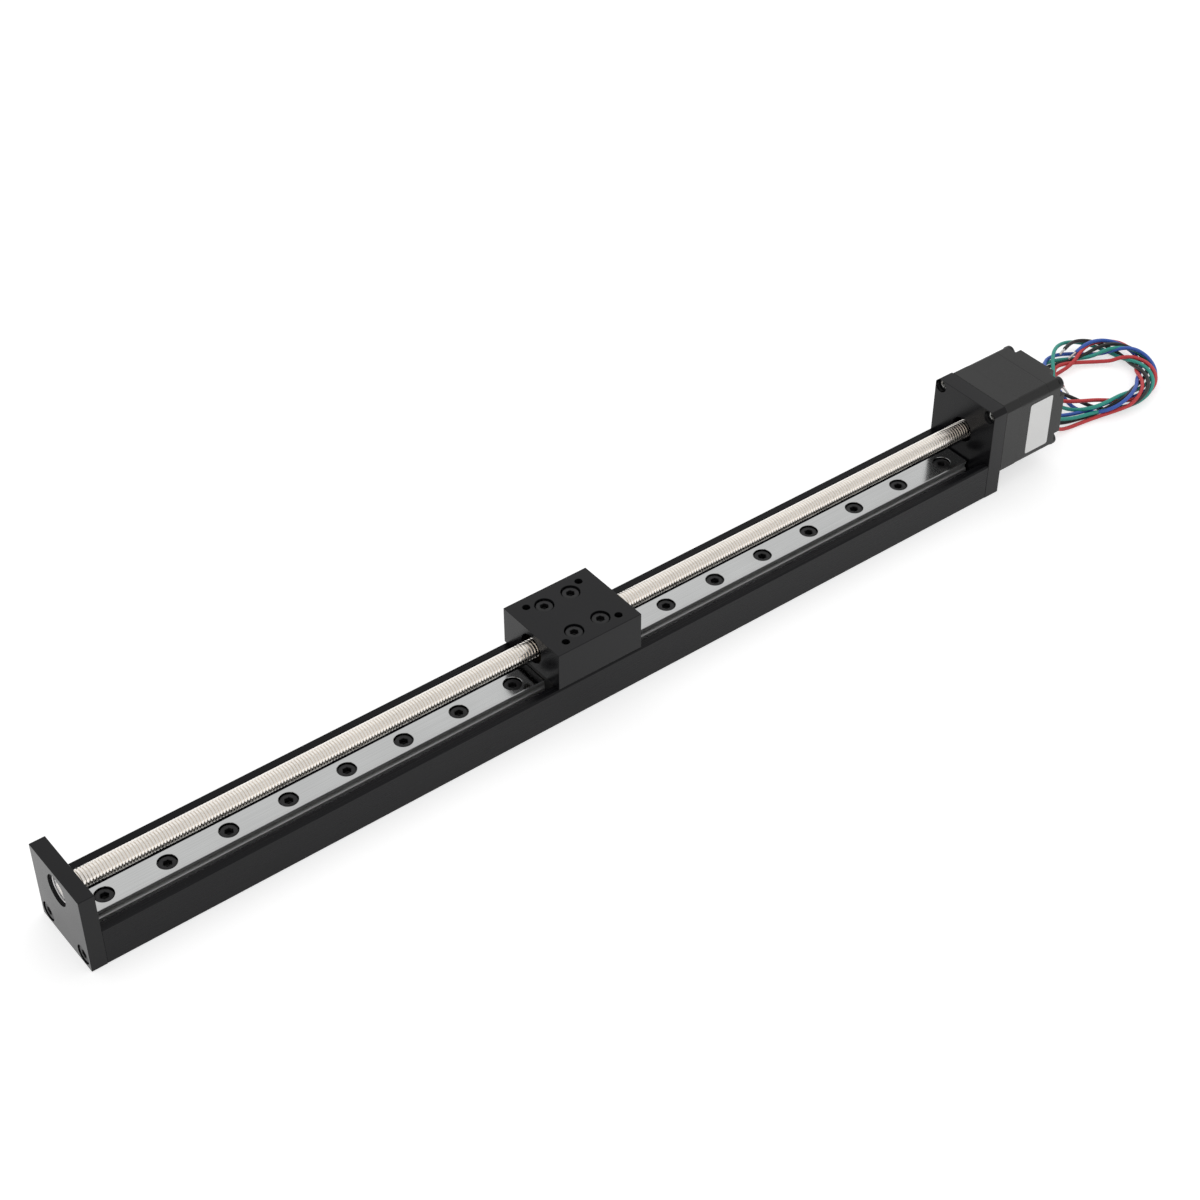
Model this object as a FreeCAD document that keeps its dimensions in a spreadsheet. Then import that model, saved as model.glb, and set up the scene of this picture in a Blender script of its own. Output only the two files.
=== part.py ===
"""Lead screw linear stage: a carriage on a profiled rail, moved by a screw that is the motor's own shaft.

Frame: +X along the screw towards the motor, +Z up, origin under the middle of the stage at its base.
All sizes are in millimetres.
"""
import FreeCAD, Part
import Sketcher
import math
import os

from FreeCAD import Placement, Rotation, Vector

DIMENSIONS = {
    # channel that carries everything
    "base_length": 336.0,
    "base_width": 28.0,
    "base_height": 13.5,
    "base_wall": 3.0,
    "base_floor": 5.6,
    "base_chamfer": 0.5,
    "seat_height": 4.0,
    "seat_width": 9.2,
    "foot_spacing_x": 280.0,
    "foot_spacing_y": 16.0,
    "foot_depth": 4.0,
    # profiled rail
    "rail_length": 335.0,
    "rail_width": 9.0,
    "rail_height": 6.5,
    "rail_chamfer": 0.3,
    "rail_hole": 3.5,
    "rail_counterbore": 6.0,
    "rail_counterbore_depth": 3.5,
    "hole_pitch": 20.0,
    "hole_count": 17,
    "groove_drop": 2.2,
    "groove_mouth": 2.0,
    "groove_root": 1.2,
    "groove_depth": 0.6,
    # end plate and motor mount
    "plate_thick": 5.0,
    "plate_height": 27.5,
    "mount_thick": 6.0,
    "plate_screw_y": 10.0,
    "plate_screw_z": 3.6,
    "end_hole_depth": 9.0,
    "edge_break": 0.3,
    # screws
    "m_three": 3.0,
    "m_three_clear": 3.4,
    "m_three_tap": 2.5,
    "m_three_head": 5.5,
    "m_three_head_height": 3.0,
    "m_three_counterbore": 6.2,
    "m_three_sink": 3.3,
    "m_motor": 2.5,
    "m_motor_clear": 2.8,
    "m_motor_head": 4.5,
    "m_motor_head_height": 2.5,
    "m_motor_counterbore": 4.7,
    "motor_sink": 4.0,
    "thread_gap": 0.04,
    "rail_screw": 6.0,
    "end_screw": 8.0,
    "carriage_screw": 12.0,
    "motor_screw": 6.0,
    "grub_length": 6.0,
    # lead screw and nut
    "screw_height": 20.75,
    "screw_diameter": 6.0,
    "screw_clear": 9.0,
    "running_gap": 0.05,
    "nut_diameter": 10.0,
    "nut_length": 24.0,
    # carriage and slider
    "carriage_length": 31.5,
    "carriage_height": 13.5,
    "carriage_rest": -11.5,
    "carriage_bolts": 20.0,
    "carriage_bolt_depth": 6.0,
    "slider_bolt_x": 10.0,
    "slider_bolt_y": 15.0,
    "slider_bolt_depth": 3.0,
    "carriage_sink": 3.5,
    "slider_length": 18.9,
    "slider_width": 20.0,
    "slider_top": 10.0,
    "slider_bottom": 2.2,
    "slider_gap": 0.5,
    "end_cap_length": 4.2,
    "end_cap_width": 19.4,
    "seal_thick": 0.8,
    "wiper_width": 18.4,
    "wiper_gap": 0.2,
    "ball_diameter": 1.56,
    "ball_pitch": 2.8,
    "ball_count": 6,
    # motor
    "motor_width": 28.0,
    "motor_chamfer": 2.1,
    "motor_bolts": 23.0,
    "motor_length": 28.0,
    "front_cap_length": 7.0,
    "rear_cap_length": 8.0,
    "pilot_diameter": 22.0,
    "pilot_height": 2.0,
    "nose_bore": 7.0,
    "shaft_front": 5.0,
    "shaft_rear": 4.0,
    "front_bearing": 11.0,
    "small_bearing": 10.0,
    "bearing_width": 4.0,
    "ring_share": 0.27,
    "ring_gap": 0.02,
    "shield_thick": 0.3,
    "shield_inset": 0.2,
    "shield_gap": 0.15,
    "end_recess": 1.0,
    "rotor_diameter": 14.2,
    "rotor_length": 12.0,
    "magnet_length": 2.0,
    "magnet_step": 1.0,
    "stator_bore": 14.5,
    "slot_root": 22.6,
    "pole_neck": 2.4,
    "pole_tip": 1.2,
    "pole_count": 8,
    "slot_mouth": 1.2,
    "slot_shoulder": 0.6,
    "winding_gap": 0.2,
    "winding_wall": 0.6,
    "winding_height": 1.6,
    "winding_lift": 0.75,
    "winding_reach": 1.3,
    "notch_wall": 7.7,
    "notch_depth": 2.6,
    "case_head": 1.8,
    "case_screw": 21.0,
    "washer_thick": 0.5,
    "washer_bore": 6.6,
    "seat_step": 2.0,
    "grommet_width": 8.0,
    "grommet_height": 3.0,
    "grommet_drop": 10.6,
    # free leads
    "lead_diameter": 1.4,
    "lead_spacing": 1.8,
    "lead_straight": 6.0,
    "lead_drop": 12.5,
    "lead_landing": 21.0,
    "lead_reach": 29.5,
    "lead_drift": 5.0,
    "coil_centre_x": 232.5,
    "coil_centre_y": 9.5,
    "coil_turn": 8.0,
    "coil_outer_long": 26.5,
    "coil_outer_short": 22.0,
    "coil_inner_long": 16.5,
    "coil_inner_short": 12.5,
    "coil_height": 5.0,
}

doc = FreeCAD.newDocument("linear_stage")
sheet = doc.addObject("Spreadsheet::Sheet", "size")
for row, (alias, number) in enumerate(DIMENSIONS.items(), start=1):
    sheet.set(f"A{row}", alias)
    sheet.set(f"B{row}", str(number))
    sheet.setAlias(f"B{row}", alias)
doc.recompute()

# Places along the stage, as expressions of the driving dimensions
TOTAL = "(size.plate_thick + size.base_length + size.mount_thick + size.motor_length)"
X_PLATE = f"(-{TOTAL} / 2)"
X_BASE = f"({X_PLATE} + size.plate_thick)"
X_RAIL = f"({X_BASE} + (size.base_length - size.rail_length) / 2)"
X_MOUNT = f"({X_BASE} + size.base_length)"
X_MOTOR = f"({X_MOUNT} + size.mount_thick)"
X_STATOR = f"({X_MOTOR} + size.front_cap_length)"
X_REAR = f"({TOTAL} / 2 - size.rear_cap_length)"
FIRST_HOLE = "((size.rail_length - (size.hole_count - 1) * size.hole_pitch) / 2)"
STATOR_LENGTH = "(size.motor_length - size.front_cap_length - size.rear_cap_length)"
SLIDER_TOP = "(size.seat_height + size.slider_top)"
AXIS = "size.screw_height"

# Sides of repeated holes and screws: few where another piece fills or hides them, more where they show
HIDDEN = 8
SHOWN = 12
WIDE = 24

# An edge longer than this belongs to an outline and not to a hole, and a point this near a plane is on it
LONG_EDGE = 20.0
HAIR = 0.01

parts = []


def bind(item, expressions):
    """Ties properties of an object to expressions over the sheet."""
    for prop, expression in expressions.items():
        item.setExpression(prop, expression)
    return item


def at(item, x="0", y="0", z="0"):
    """Ties the place of an object to expressions."""
    return bind(item, {"Placement.Base.x": x, "Placement.Base.y": y, "Placement.Base.z": z})


def keep(item):
    """Lists an object as a sub-part that gets a file of its own."""
    parts.append(item)
    return item


def new_body(name, x="0", y="0", z="0"):
    return keep(at(doc.addObject("PartDesign::Body", name), x, y, z))


def new_sketch(body, role, offset=None):
    """A sketch on one of the body's own planes, moved along the plane's normal by offset."""
    sketch = body.newObject("Sketcher::SketchObject", body.Name + "_sketch")
    plane = next(f for f in body.Origin.OriginFeatures if f.Role == role)
    sketch.AttachmentSupport = [(plane, "")]
    sketch.MapMode = "FlatFace"
    if offset:
        sketch.setExpression("AttachmentOffset.Base.z", offset)
    return sketch


def pin_point(sketch, geometry, position, x, y):
    """Places a point of a sketch at two expressions measured from the sketch's origin."""
    for kind, expression in (("DistanceX", x), ("DistanceY", y)):
        index = sketch.addConstraint(Sketcher.Constraint(kind, -1, 1, geometry, position, 1.0))
        sketch.setExpression(f"Constraints[{index}]", expression)


def draw_polygon(sketch, corners):
    """A closed outline through corners that are pairs of expressions."""
    count = len(corners)
    ring = [Vector(math.cos(math.tau * i / count), math.sin(math.tau * i / count)) for i in range(count)]
    lines = [sketch.addGeometry(Part.LineSegment(ring[i], ring[(i + 1) % count])) for i in range(count)]
    for i, (x, y) in enumerate(corners):
        sketch.addConstraint(Sketcher.Constraint("Coincident", lines[i - 1], 2, lines[i], 1))
        pin_point(sketch, lines[i], 1, x, y)


def draw_holes(sketch, holes, sides):
    """Hole mouths given as centre and diameter: true circles, or polygons about them for repeated holes."""
    for x, y, diameter in holes:
        if sides:
            reach = 0.5 / math.cos(math.pi / sides)
            angles = [math.tau * (n + 0.5) / sides for n in range(sides)]
            turns = [(reach * math.cos(a), reach * math.sin(a)) for a in angles]
            draw_polygon(sketch, [(f"{x} + {diameter} * {c}", f"{y} + {diameter} * {s}") for c, s in turns])
            continue
        circle = sketch.addGeometry(Part.Circle(Vector(1, 1, 0), Vector(0, 0, 1), 1.0))
        pin_point(sketch, circle, 3, x, y)
        index = sketch.addConstraint(Sketcher.Constraint("Diameter", circle, 2.0))
        sketch.setExpression(f"Constraints[{index}]", diameter)


def pad(body, role, corners, length, offset=None):
    """A prism whose outline lies on one of the body's planes."""
    sketch = new_sketch(body, role, offset)
    draw_polygon(sketch, corners)
    feature = body.newObject("PartDesign::Pad", body.Name + "_pad")
    feature.Profile = sketch
    return bind(feature, {"Length": length})


def drill(body, role, holes, depth, offset=None, forward=False, sides=0):
    """Round pockets, against the plane's normal, or along it when forward."""
    sketch = new_sketch(body, role, offset)
    draw_holes(sketch, holes, sides)
    feature = body.newObject("PartDesign::Pocket", body.Name + "_holes")
    feature.Profile = sketch
    feature.Reversed = forward
    return bind(feature, {"Length": depth})


def turn(body, profile):
    """A solid of revolution about the body's own X axis, from (x, radius) corners."""
    sketch = new_sketch(body, "XZ_Plane")
    draw_polygon(sketch, profile)
    feature = body.newObject("PartDesign::Revolution", body.Name + "_turned")
    feature.Profile = sketch
    feature.ReferenceAxis = (sketch, ["H_Axis"])
    feature.Angle = 360
    return feature


def repeat_along_x(body, features, length, count):
    """A row of the given features along X."""
    pattern = body.newObject("PartDesign::LinearPattern", body.Name + "_row")
    pattern.Originals = features
    plane = next(f for f in body.Origin.OriginFeatures if f.Role == "X_Axis")
    pattern.Direction = (plane, [""])
    bind(pattern, {"Length": length, "Occurrences": count})
    body.Tip = pattern
    return pattern


def break_edges(body, size, choose):
    """Chamfers the edges of the body's tip that choose accepts."""
    doc.recompute()
    base = body.Tip
    names = [f"Edge{i}" for i, edge in enumerate(base.Shape.Edges, start=1) if choose(edge)]
    chamfer = body.newObject("PartDesign::Chamfer", body.Name + "_chamfer")
    chamfer.Base = (base, names)
    return bind(chamfer, {"Size": size})


def box(name, length, width, height, x, y, z):
    item = doc.addObject("Part::Box", name)
    bind(item, {"Length": length, "Width": width, "Height": height})
    return at(item, x, y, z)


def joined(name, kind, *items):
    """A boolean of earlier solids: Part::Cut takes two, the others any number."""
    result = doc.addObject(kind, name)
    if kind == "Part::Cut":
        result.Base, result.Tool = items
    else:
        result.Shapes = list(items)
    return result


def prism(name, sides, diameter, height, z="0"):
    """A regular prism inside a cylinder of the given diameter."""
    item = doc.addObject("Part::Prism", name)
    item.Polygon = sides
    bind(item, {"Circumradius": f"({diameter}) / 2", "Height": height})
    return at(item, z=z)


def cap_screw(name, thread, length, head, head_height):
    """A cap screw: the head stands on z = 0 and the shank points down."""
    crown = prism(name + "_head", SHOWN, head, head_height)
    shank = prism(name + "_shank", HIDDEN, f"{thread} - size.thread_gap", length, f"-({length})")
    return joined(name, "Part::MultiFuse", crown, shank)


def ring(name, outside, bore, length, x, sides=SHOWN):
    """A ring about the screw's axis: its corners stay inside outside, its flats touch bore."""
    blank = prism(name + "_blank", sides, f"{outside} - size.ring_gap", length)
    core = prism(name + "_core", sides, f"({bore} + size.ring_gap) / cos(180 / {sides})", length)
    result = joined(name, "Part::Cut", blank, core)
    result.Placement = Placement(Vector(), Rotation(Vector(0, 1, 0), 90))
    return at(result, x, z=AXIS)


def copies(name, master, places):
    """One node of identical separate solids, set at the given placements."""
    doc.recompute()
    group = doc.addObject("Part::Feature", name)
    group.Shape = Part.makeCompound([master.Shape.transformed(p.toMatrix()) for p in places])
    group.Placement = Placement()
    return keep(group)


def spot(x, y, z, axis=Vector(0, 0, 1)):
    """A placement that points a screw's head along axis."""
    return Placement(Vector(x, y, z), Rotation(Vector(0, 0, 1), axis))


def square(half_y, half_z):
    """The four corners of a rectangle about the axis, as expression pairs."""
    return [(f"{a} * {half_y}", f"{b} * {half_z}") for a in (-1, 1) for b in (-1, 1)]


# Channel: a U section with a seat for the rail, drilled for the rail, the end pieces and the feet
base = new_body("base_channel", X_BASE)
HALF = "size.base_width / 2"
INNER = "(size.base_width / 2 - size.base_wall)"
right_half = [
    (HALF, "0"),
    (HALF, "size.base_height - size.base_chamfer"),
    (f"{HALF} - size.base_chamfer", "size.base_height"),
    (INNER, "size.base_height"),
    (INNER, "size.base_floor"),
    ("size.seat_width / 2", "size.base_floor"),
    ("size.seat_width / 2", "size.seat_height"),
]
left_half = [(f"-({y})", z) for y, z in reversed(right_half)]
pad(base, "YZ_Plane", right_half + left_half, "size.base_length")
RAIL_INSET = "(size.base_length - size.rail_length) / 2"
first = [(f"{RAIL_INSET} + {FIRST_HOLE}", "0", "size.m_three")]
tapped = drill(base, "XY_Plane", first, "size.seat_height", "size.seat_height", sides=HIDDEN)
repeat_along_x(base, [tapped], "(size.hole_count - 1) * size.hole_pitch", "size.hole_count")
END_HOLE_DEPTH = "size.end_hole_depth"
end_taps = [(f"{s} * size.plate_screw_y", "size.plate_screw_z", "size.m_three") for s in (-1, 1)]
drill(base, "YZ_Plane", end_taps, END_HOLE_DEPTH, forward=True, sides=HIDDEN)
drill(base, "YZ_Plane", end_taps, END_HOLE_DEPTH, "size.base_length", sides=HIDDEN)
foot_spots = square("size.foot_spacing_x / 2", "size.foot_spacing_y / 2")
feet = [(f"size.base_length / 2 + {x}", y, "size.m_three_tap") for x, y in foot_spots]
drill(base, "XY_Plane", feet, "size.foot_depth", forward=True)

# Rail: ground bar with a ball groove on each side and a row of counterbored holes
rail = new_body("linear_rail", X_RAIL, z="size.seat_height")
EDGE = "size.rail_width / 2"
GROOVE = "(size.rail_height - size.groove_drop)"
right_half = [
    (EDGE, "0"),
    (EDGE, f"{GROOVE} - size.groove_mouth / 2"),
    (f"{EDGE} - size.groove_depth", f"{GROOVE} - size.groove_root / 2"),
    (f"{EDGE} - size.groove_depth", f"{GROOVE} + size.groove_root / 2"),
    (EDGE, f"{GROOVE} + size.groove_mouth / 2"),
    (EDGE, "size.rail_height - size.rail_chamfer"),
    (f"{EDGE} - size.rail_chamfer", "size.rail_height"),
]
left_half = [(f"-({y})", z) for y, z in reversed(right_half)]
pad(rail, "YZ_Plane", right_half + left_half, "size.rail_length")
RISE = "size.rail_height"
through = drill(rail, "XY_Plane", [(FIRST_HOLE, "0", "size.rail_hole")], RISE, RISE, sides=HIDDEN)
first_sink = [(FIRST_HOLE, "0", "size.rail_counterbore")]
sunk = drill(rail, "XY_Plane", first_sink, "size.rail_counterbore_depth", RISE, sides=SHOWN)
repeat_along_x(rail, [through, sunk], "(size.hole_count - 1) * size.hole_pitch", "size.hole_count")

# End plate: closes the free end and holds the screw's bearing
plate = new_body("end_plate", X_PLATE, z=AXIS)
PLATE_FOOT = f"-{AXIS}"
PLATE_HEAD = f"size.plate_height - {AXIS}"
outline = [(f"-{HALF}", PLATE_FOOT), (HALF, PLATE_FOOT), (HALF, PLATE_HEAD), (f"-{HALF}", PLATE_HEAD)]
pad(plate, "YZ_Plane", outline, "size.plate_thick")
END_SCREWS = [(f"{s} * size.plate_screw_y", f"size.plate_screw_z - {AXIS}") for s in (-1, 1)]
end_clear = [(*p, "size.m_three_clear") for p in END_SCREWS]
end_sinks = [(*p, "size.m_three_counterbore") for p in END_SCREWS]
PLATE = "size.plate_thick"
drill(plate, "YZ_Plane", [("0", "0", "size.small_bearing")], PLATE, PLATE)
drill(plate, "YZ_Plane", end_clear, PLATE, PLATE, sides=HIDDEN)
drill(plate, "YZ_Plane", end_sinks, "size.m_three_sink", forward=True, sides=SHOWN)
break_edges(plate, "size.edge_break", lambda e: e.Length > LONG_EDGE and e.BoundBox.XMax < HAIR)

# Motor mount: same outline as the motor above, foot on the channel's end below
mount = new_body("motor_mount", X_MOUNT, z=AXIS)
SIDE = "size.motor_width / 2"
CUT = f"{SIDE} - size.motor_chamfer"
outline = [
    (f"-{SIDE}", PLATE_FOOT),
    (SIDE, PLATE_FOOT),
    (SIDE, CUT),
    (CUT, SIDE),
    (f"-({CUT})", SIDE),
    (f"-{SIDE}", CUT),
]
pad(mount, "YZ_Plane", outline, "size.mount_thick")
BOLT = "size.motor_bolts / 2"
motor_corners = square(BOLT, BOLT)
motor_clear = [(*p, "size.m_motor_clear") for p in motor_corners]
motor_sinks = [(*p, "size.m_motor_counterbore") for p in motor_corners]
MOUNT = "size.mount_thick"
drill(mount, "YZ_Plane", [("0", "0", "size.screw_clear")], MOUNT, MOUNT, sides=WIDE)
drill(mount, "YZ_Plane", [("0", "0", "size.pilot_diameter")], "size.pilot_height", MOUNT, sides=WIDE)
drill(mount, "YZ_Plane", motor_clear, MOUNT, MOUNT, sides=HIDDEN)
drill(mount, "YZ_Plane", motor_sinks, "size.motor_sink", forward=True, sides=SHOWN)
drill(mount, "YZ_Plane", end_clear, MOUNT, MOUNT, sides=HIDDEN)
drill(mount, "YZ_Plane", end_sinks, "size.m_three_sink", MOUNT, sides=SHOWN)

# Lead screw: threaded over its working length, with journals for three bearings and the rotor
screw = new_body("lead_screw", X_PLATE, z=AXIS)
JOURNAL = "size.shaft_rear / 2"
THREAD = "size.screw_diameter / 2"
SPINDLE = "size.shaft_front / 2"
X_SHAFT = f"({X_MOTOR} - {X_PLATE} - size.end_recess)"
X_BACK = f"({X_REAR} - {X_PLATE})"
turn(
    screw,
    [
        ("size.end_recess", "0"),
        ("size.end_recess", f"{JOURNAL} - size.edge_break"),
        ("size.end_recess + size.edge_break", JOURNAL),
        ("size.plate_thick", JOURNAL),
        ("size.plate_thick", THREAD),
        (X_SHAFT, THREAD),
        (X_SHAFT, SPINDLE),
        (X_BACK, SPINDLE),
        (X_BACK, JOURNAL),
        (f"{X_BACK} + size.rear_cap_length - size.end_recess", JOURNAL),
        (f"{X_BACK} + size.rear_cap_length - size.end_recess", "0"),
    ],
)


WIDTH = "size.bearing_width"


def ring_radii(bore, outside):
    """Where a ball bearing's outer ring ends and its inner ring begins, as diameters."""
    wall = f"({outside} - {bore}) * size.ring_share"
    return f"({outside} - {wall})", f"({bore} + {wall})"


def bearing(name, bore, outside, x, sides=SHOWN):
    """A ball bearing: its outer and its inner ring."""
    inside, collar = ring_radii(bore, outside)
    keep(ring(f"{name}_outer", outside, inside, WIDTH, x, sides))
    keep(ring(f"{name}_inner", collar, bore, WIDTH, x, sides))


END_BEARING_AT = f"({X_PLATE} + size.end_recess)"
END_INSIDE, END_COLLAR = ring_radii("size.shaft_rear", "size.small_bearing")
bearing("end_bearing", "size.shaft_rear", "size.small_bearing", END_BEARING_AT, WIDE)
SHIELDS = (("a", "size.shield_inset"), ("b", f"{WIDTH} - size.shield_inset - size.shield_thick"))
shields = keep(doc.addObject("Part::Compound", "end_bearing_shields"))
shields.Links = [
    ring(
        f"end_bearing_shield_{side}",
        END_INSIDE,
        f"({END_COLLAR} + size.shield_gap)",
        "size.shield_thick",
        f"{END_BEARING_AT} + {inset}",
    )
    for side, inset in SHIELDS
]
bearing("front_bearing", "size.shaft_front", "size.front_bearing", f"({X_MOTOR} + size.end_recess)")
REAR_BEARING_AT = f"({X_REAR} + size.seat_step)"
bearing("rear_bearing", "size.shaft_rear", "size.small_bearing", REAR_BEARING_AT)

# Nut: a plain brass sleeve held in the carriage by a grub screw
NUT_BORE = "(size.screw_diameter + 2 * size.running_gap)"
NUT_AT = "size.carriage_rest - size.nut_length / 2"
keep(ring("lead_nut", "size.nut_diameter", NUT_BORE, "size.nut_length", NUT_AT, WIDE))

# Carriage: block above the channel, bored for the nut, sunk for the slider's screws, tapped for the load
CARRIAGE_Z = SLIDER_TOP
block = new_body("carriage_block", "size.carriage_rest", z=CARRIAGE_Z)
LONG = "size.carriage_length / 2"
outline = [(f"-{LONG}", f"-{HALF}"), (LONG, f"-{HALF}"), (LONG, HALF), (f"-{LONG}", HALF)]
pad(block, "XY_Plane", outline, "size.carriage_height")
NUT_Z = f"{AXIS} - {CARRIAGE_Z}"
drill(block, "YZ_Plane", [("0", NUT_Z, "size.nut_diameter")], "size.carriage_length", LONG, sides=WIDE)
slider_bolts = square("size.slider_bolt_x / 2", "size.slider_bolt_y / 2")
load_bolts = square("size.carriage_bolts / 2", "size.carriage_bolts / 2")
TOP = "size.carriage_height"
block_clear = [(*p, "size.m_three_clear") for p in slider_bolts]
block_sinks = [(*p, "size.m_three_counterbore") for p in slider_bolts]
drill(block, "XY_Plane", block_clear, TOP, TOP, sides=HIDDEN)
drill(block, "XY_Plane", block_sinks, "size.carriage_sink", TOP, sides=SHOWN)
drill(block, "XY_Plane", [(*p, "size.m_three_tap") for p in load_bolts], "size.carriage_bolt_depth", TOP)
GRUB_DEPTH = f"({HALF} - size.nut_diameter / 4)"
grub_hole = [("0", NUT_Z, "size.m_three")]
drill(block, "XZ_Plane", grub_hole, GRUB_DEPTH, f"-({HALF})", forward=True, sides=HIDDEN)
block_top = sheet.carriage_height - HAIR
break_edges(block, "size.edge_break", lambda e: e.Length > LONG_EDGE and e.BoundBox.ZMin > block_top)

# Slider: steel saddle with a ball groove on each inner side, end caps and wipers
saddle = new_body("slider_body", "size.carriage_rest - size.slider_length / 2", z="size.seat_height")


def saddle_outline(width, gap, grooved):
    """The slider's section about the rail, with the open side down."""
    skirt = f"({EDGE} + {gap})"
    ceiling = f"(size.rail_height + {gap})"
    half = [(f"{width} / 2", "size.slider_bottom"), (f"{width} / 2", "size.slider_top")]
    lower = [(skirt, ceiling)]
    if grooved:
        lower += [
            (skirt, f"{GROOVE} + size.groove_mouth / 2"),
            (f"{skirt} + size.groove_depth", f"{GROOVE} + size.groove_root / 2"),
            (f"{skirt} + size.groove_depth", f"{GROOVE} - size.groove_root / 2"),
            (skirt, f"{GROOVE} - size.groove_mouth / 2"),
        ]
    lower.append((skirt, "size.slider_bottom"))
    outside = half + [(f"-({y})", z) for y, z in reversed(half)]
    inside = [(f"-({y})", z) for y, z in reversed(lower)] + lower
    return outside + inside


pad(saddle, "YZ_Plane", saddle_outline("size.slider_width", "size.slider_gap", True), "size.slider_length")
saddle_bolts = [(f"size.slider_length / 2 + {x}", y, "size.m_three") for x, y in slider_bolts]
drill(saddle, "XY_Plane", saddle_bolts, "size.slider_bolt_depth", "size.slider_top", sides=HIDDEN)


def saddle_pair(name, width, gap, length, distance):
    """Two like pieces with the slider's section, one at each end, distance from its middle."""
    twin = keep(doc.addObject("Part::Compound", name))
    sides = []
    for side, start in (("a", f"-({distance}) - {length}"), ("b", distance)):
        piece = doc.addObject("PartDesign::Body", f"{name}_{side}")
        pad(piece, "YZ_Plane", saddle_outline(width, gap, False), length)
        sides.append(at(piece, f"size.carriage_rest + {start}", z="size.seat_height"))
    twin.Links = sides


CAP_AT = "size.slider_length / 2"
WIPER_AT = f"{CAP_AT} + size.end_cap_length"
saddle_pair("slider_end_caps", "size.end_cap_width", "size.slider_gap", "size.end_cap_length", CAP_AT)
saddle_pair("slider_wipers", "size.wiper_width", "size.wiper_gap", "size.seal_thick", WIPER_AT)


def faceted_ball(name, diameter):
    """A ball with few faces: the common part of a cube and its three diagonal turns."""
    cubes = []
    for turn_axis in (None, Vector(1, 0, 0), Vector(0, 1, 0), Vector(0, 0, 1)):
        cube = box(f"{name}_cube", diameter, diameter, diameter, "0", "0", "0")
        frame = doc.addObject("Part::Compound", f"{name}_turn")
        frame.Links = [at(cube, *[f"-{diameter} / 2"] * 3)]
        if turn_axis:
            frame.Placement = Placement(Vector(), Rotation(turn_axis, 45))
        cubes.append(frame)
    return joined(name, "Part::MultiCommon", *cubes)


ball = faceted_ball("slider_ball", "size.ball_diameter")

# Motor: two cast caps and a slotted stack between them, on the mount's outline.
# The rear cap's corners are notched for the heads of the screws that hold the three together.
octagon = [
    (f"{a} * ({y})", f"{b} * ({z})")
    for a, b, flip in ((1, 1, False), (-1, 1, True), (-1, -1, False), (1, -1, True))
    for y, z in (((CUT, SIDE), (SIDE, CUT)) if flip else ((SIDE, CUT), (CUT, SIDE)))
]
FRONT = "size.front_cap_length"
BOSS = "(size.pilot_diameter / 2 - size.thread_gap)"
NOSE = ("0", "0", "size.nose_bore")
CAVITY = ("0", "0", "size.slot_root")
SEAT_END = "(size.end_recess + size.bearing_width)"
front = new_body("motor_front_cap", X_MOTOR, z=AXIS)
pad(front, "YZ_Plane", octagon, FRONT)
boss = [
    (f"{BOSS} * {math.cos(math.tau * n / WIDE)}", f"{BOSS} * {math.sin(math.tau * n / WIDE)}")
    for n in range(WIDE)
]
pad(front, "YZ_Plane", boss, "size.pilot_height + size.edge_break", "-size.pilot_height")
drill(front, "YZ_Plane", [NOSE], f"{FRONT} + size.pilot_height", FRONT, sides=SHOWN)
drill(front, "YZ_Plane", [("0", "0", "size.front_bearing")], WIDTH, SEAT_END, sides=WIDE)
drill(front, "YZ_Plane", [CAVITY], f"{FRONT} - {SEAT_END}", FRONT, sides=WIDE)
front_taps = [(*p, "size.m_motor") for p in motor_corners]
drill(front, "YZ_Plane", front_taps, FRONT, FRONT, sides=HIDDEN)

stack = new_body("motor_stator", X_STATOR, z=AXIS)
pad(stack, "YZ_Plane", octagon, STATOR_LENGTH)
drill(stack, "YZ_Plane", [("0", "0", "size.stator_bore")], STATOR_LENGTH, STATOR_LENGTH)
drill(stack, "YZ_Plane", motor_clear, STATOR_LENGTH, STATOR_LENGTH, sides=HIDDEN)
slot_sketch = new_sketch(stack, "YZ_Plane", STATOR_LENGTH)
HALF_STEP = "(180 / size.pole_count)"
BORE = "size.stator_bore / 2"
TIP = f"({BORE} + size.pole_tip)"
ROOT = "size.slot_root / 2"
MOUTH = "size.slot_mouth / 2"


def slot_wall(radius, offset):
    """A point of a slot's wall: on the pole's flank, offset from the pole's middle line."""
    along = f"sqrt(({radius})^2 - ({offset})^2)"
    return along, f"({offset})"


def turned_point(along, across, sign):
    """Turns a point by half a pole step about the axis, to either side of the slot's middle."""
    c, s = f"cos({HALF_STEP})", f"sin({HALF_STEP})"
    return f"({along}) * {c} + ({across}) * {s}", f"{sign} * (({along}) * {s} - ({across}) * {c})"


NECK = "size.pole_neck / 2"
slot = [
    (f"{BORE} - size.slot_shoulder", f"-{MOUTH}"),
    (TIP, f"-{MOUTH}"),
    turned_point(*slot_wall(f"({TIP} + size.slot_shoulder)", NECK), -1),
    turned_point(*slot_wall(f"({ROOT})", NECK), -1),
    turned_point(*slot_wall(f"({ROOT})", NECK), 1),
    turned_point(*slot_wall(f"({TIP} + size.slot_shoulder)", NECK), 1),
    (TIP, MOUTH),
    (f"{BORE} - size.slot_shoulder", MOUTH),
]
draw_polygon(slot_sketch, slot)
slot_cut = stack.newObject("PartDesign::Pocket", "motor_stator_slot")
slot_cut.Profile = slot_sketch
bind(slot_cut, {"Length": STATOR_LENGTH})
slots = stack.newObject("PartDesign::PolarPattern", "motor_stator_slots")
slots.Originals = [slot_cut]
axis_line = next(f for f in stack.Origin.OriginFeatures if f.Role == "X_Axis")
slots.Axis = (axis_line, [""])
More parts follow.
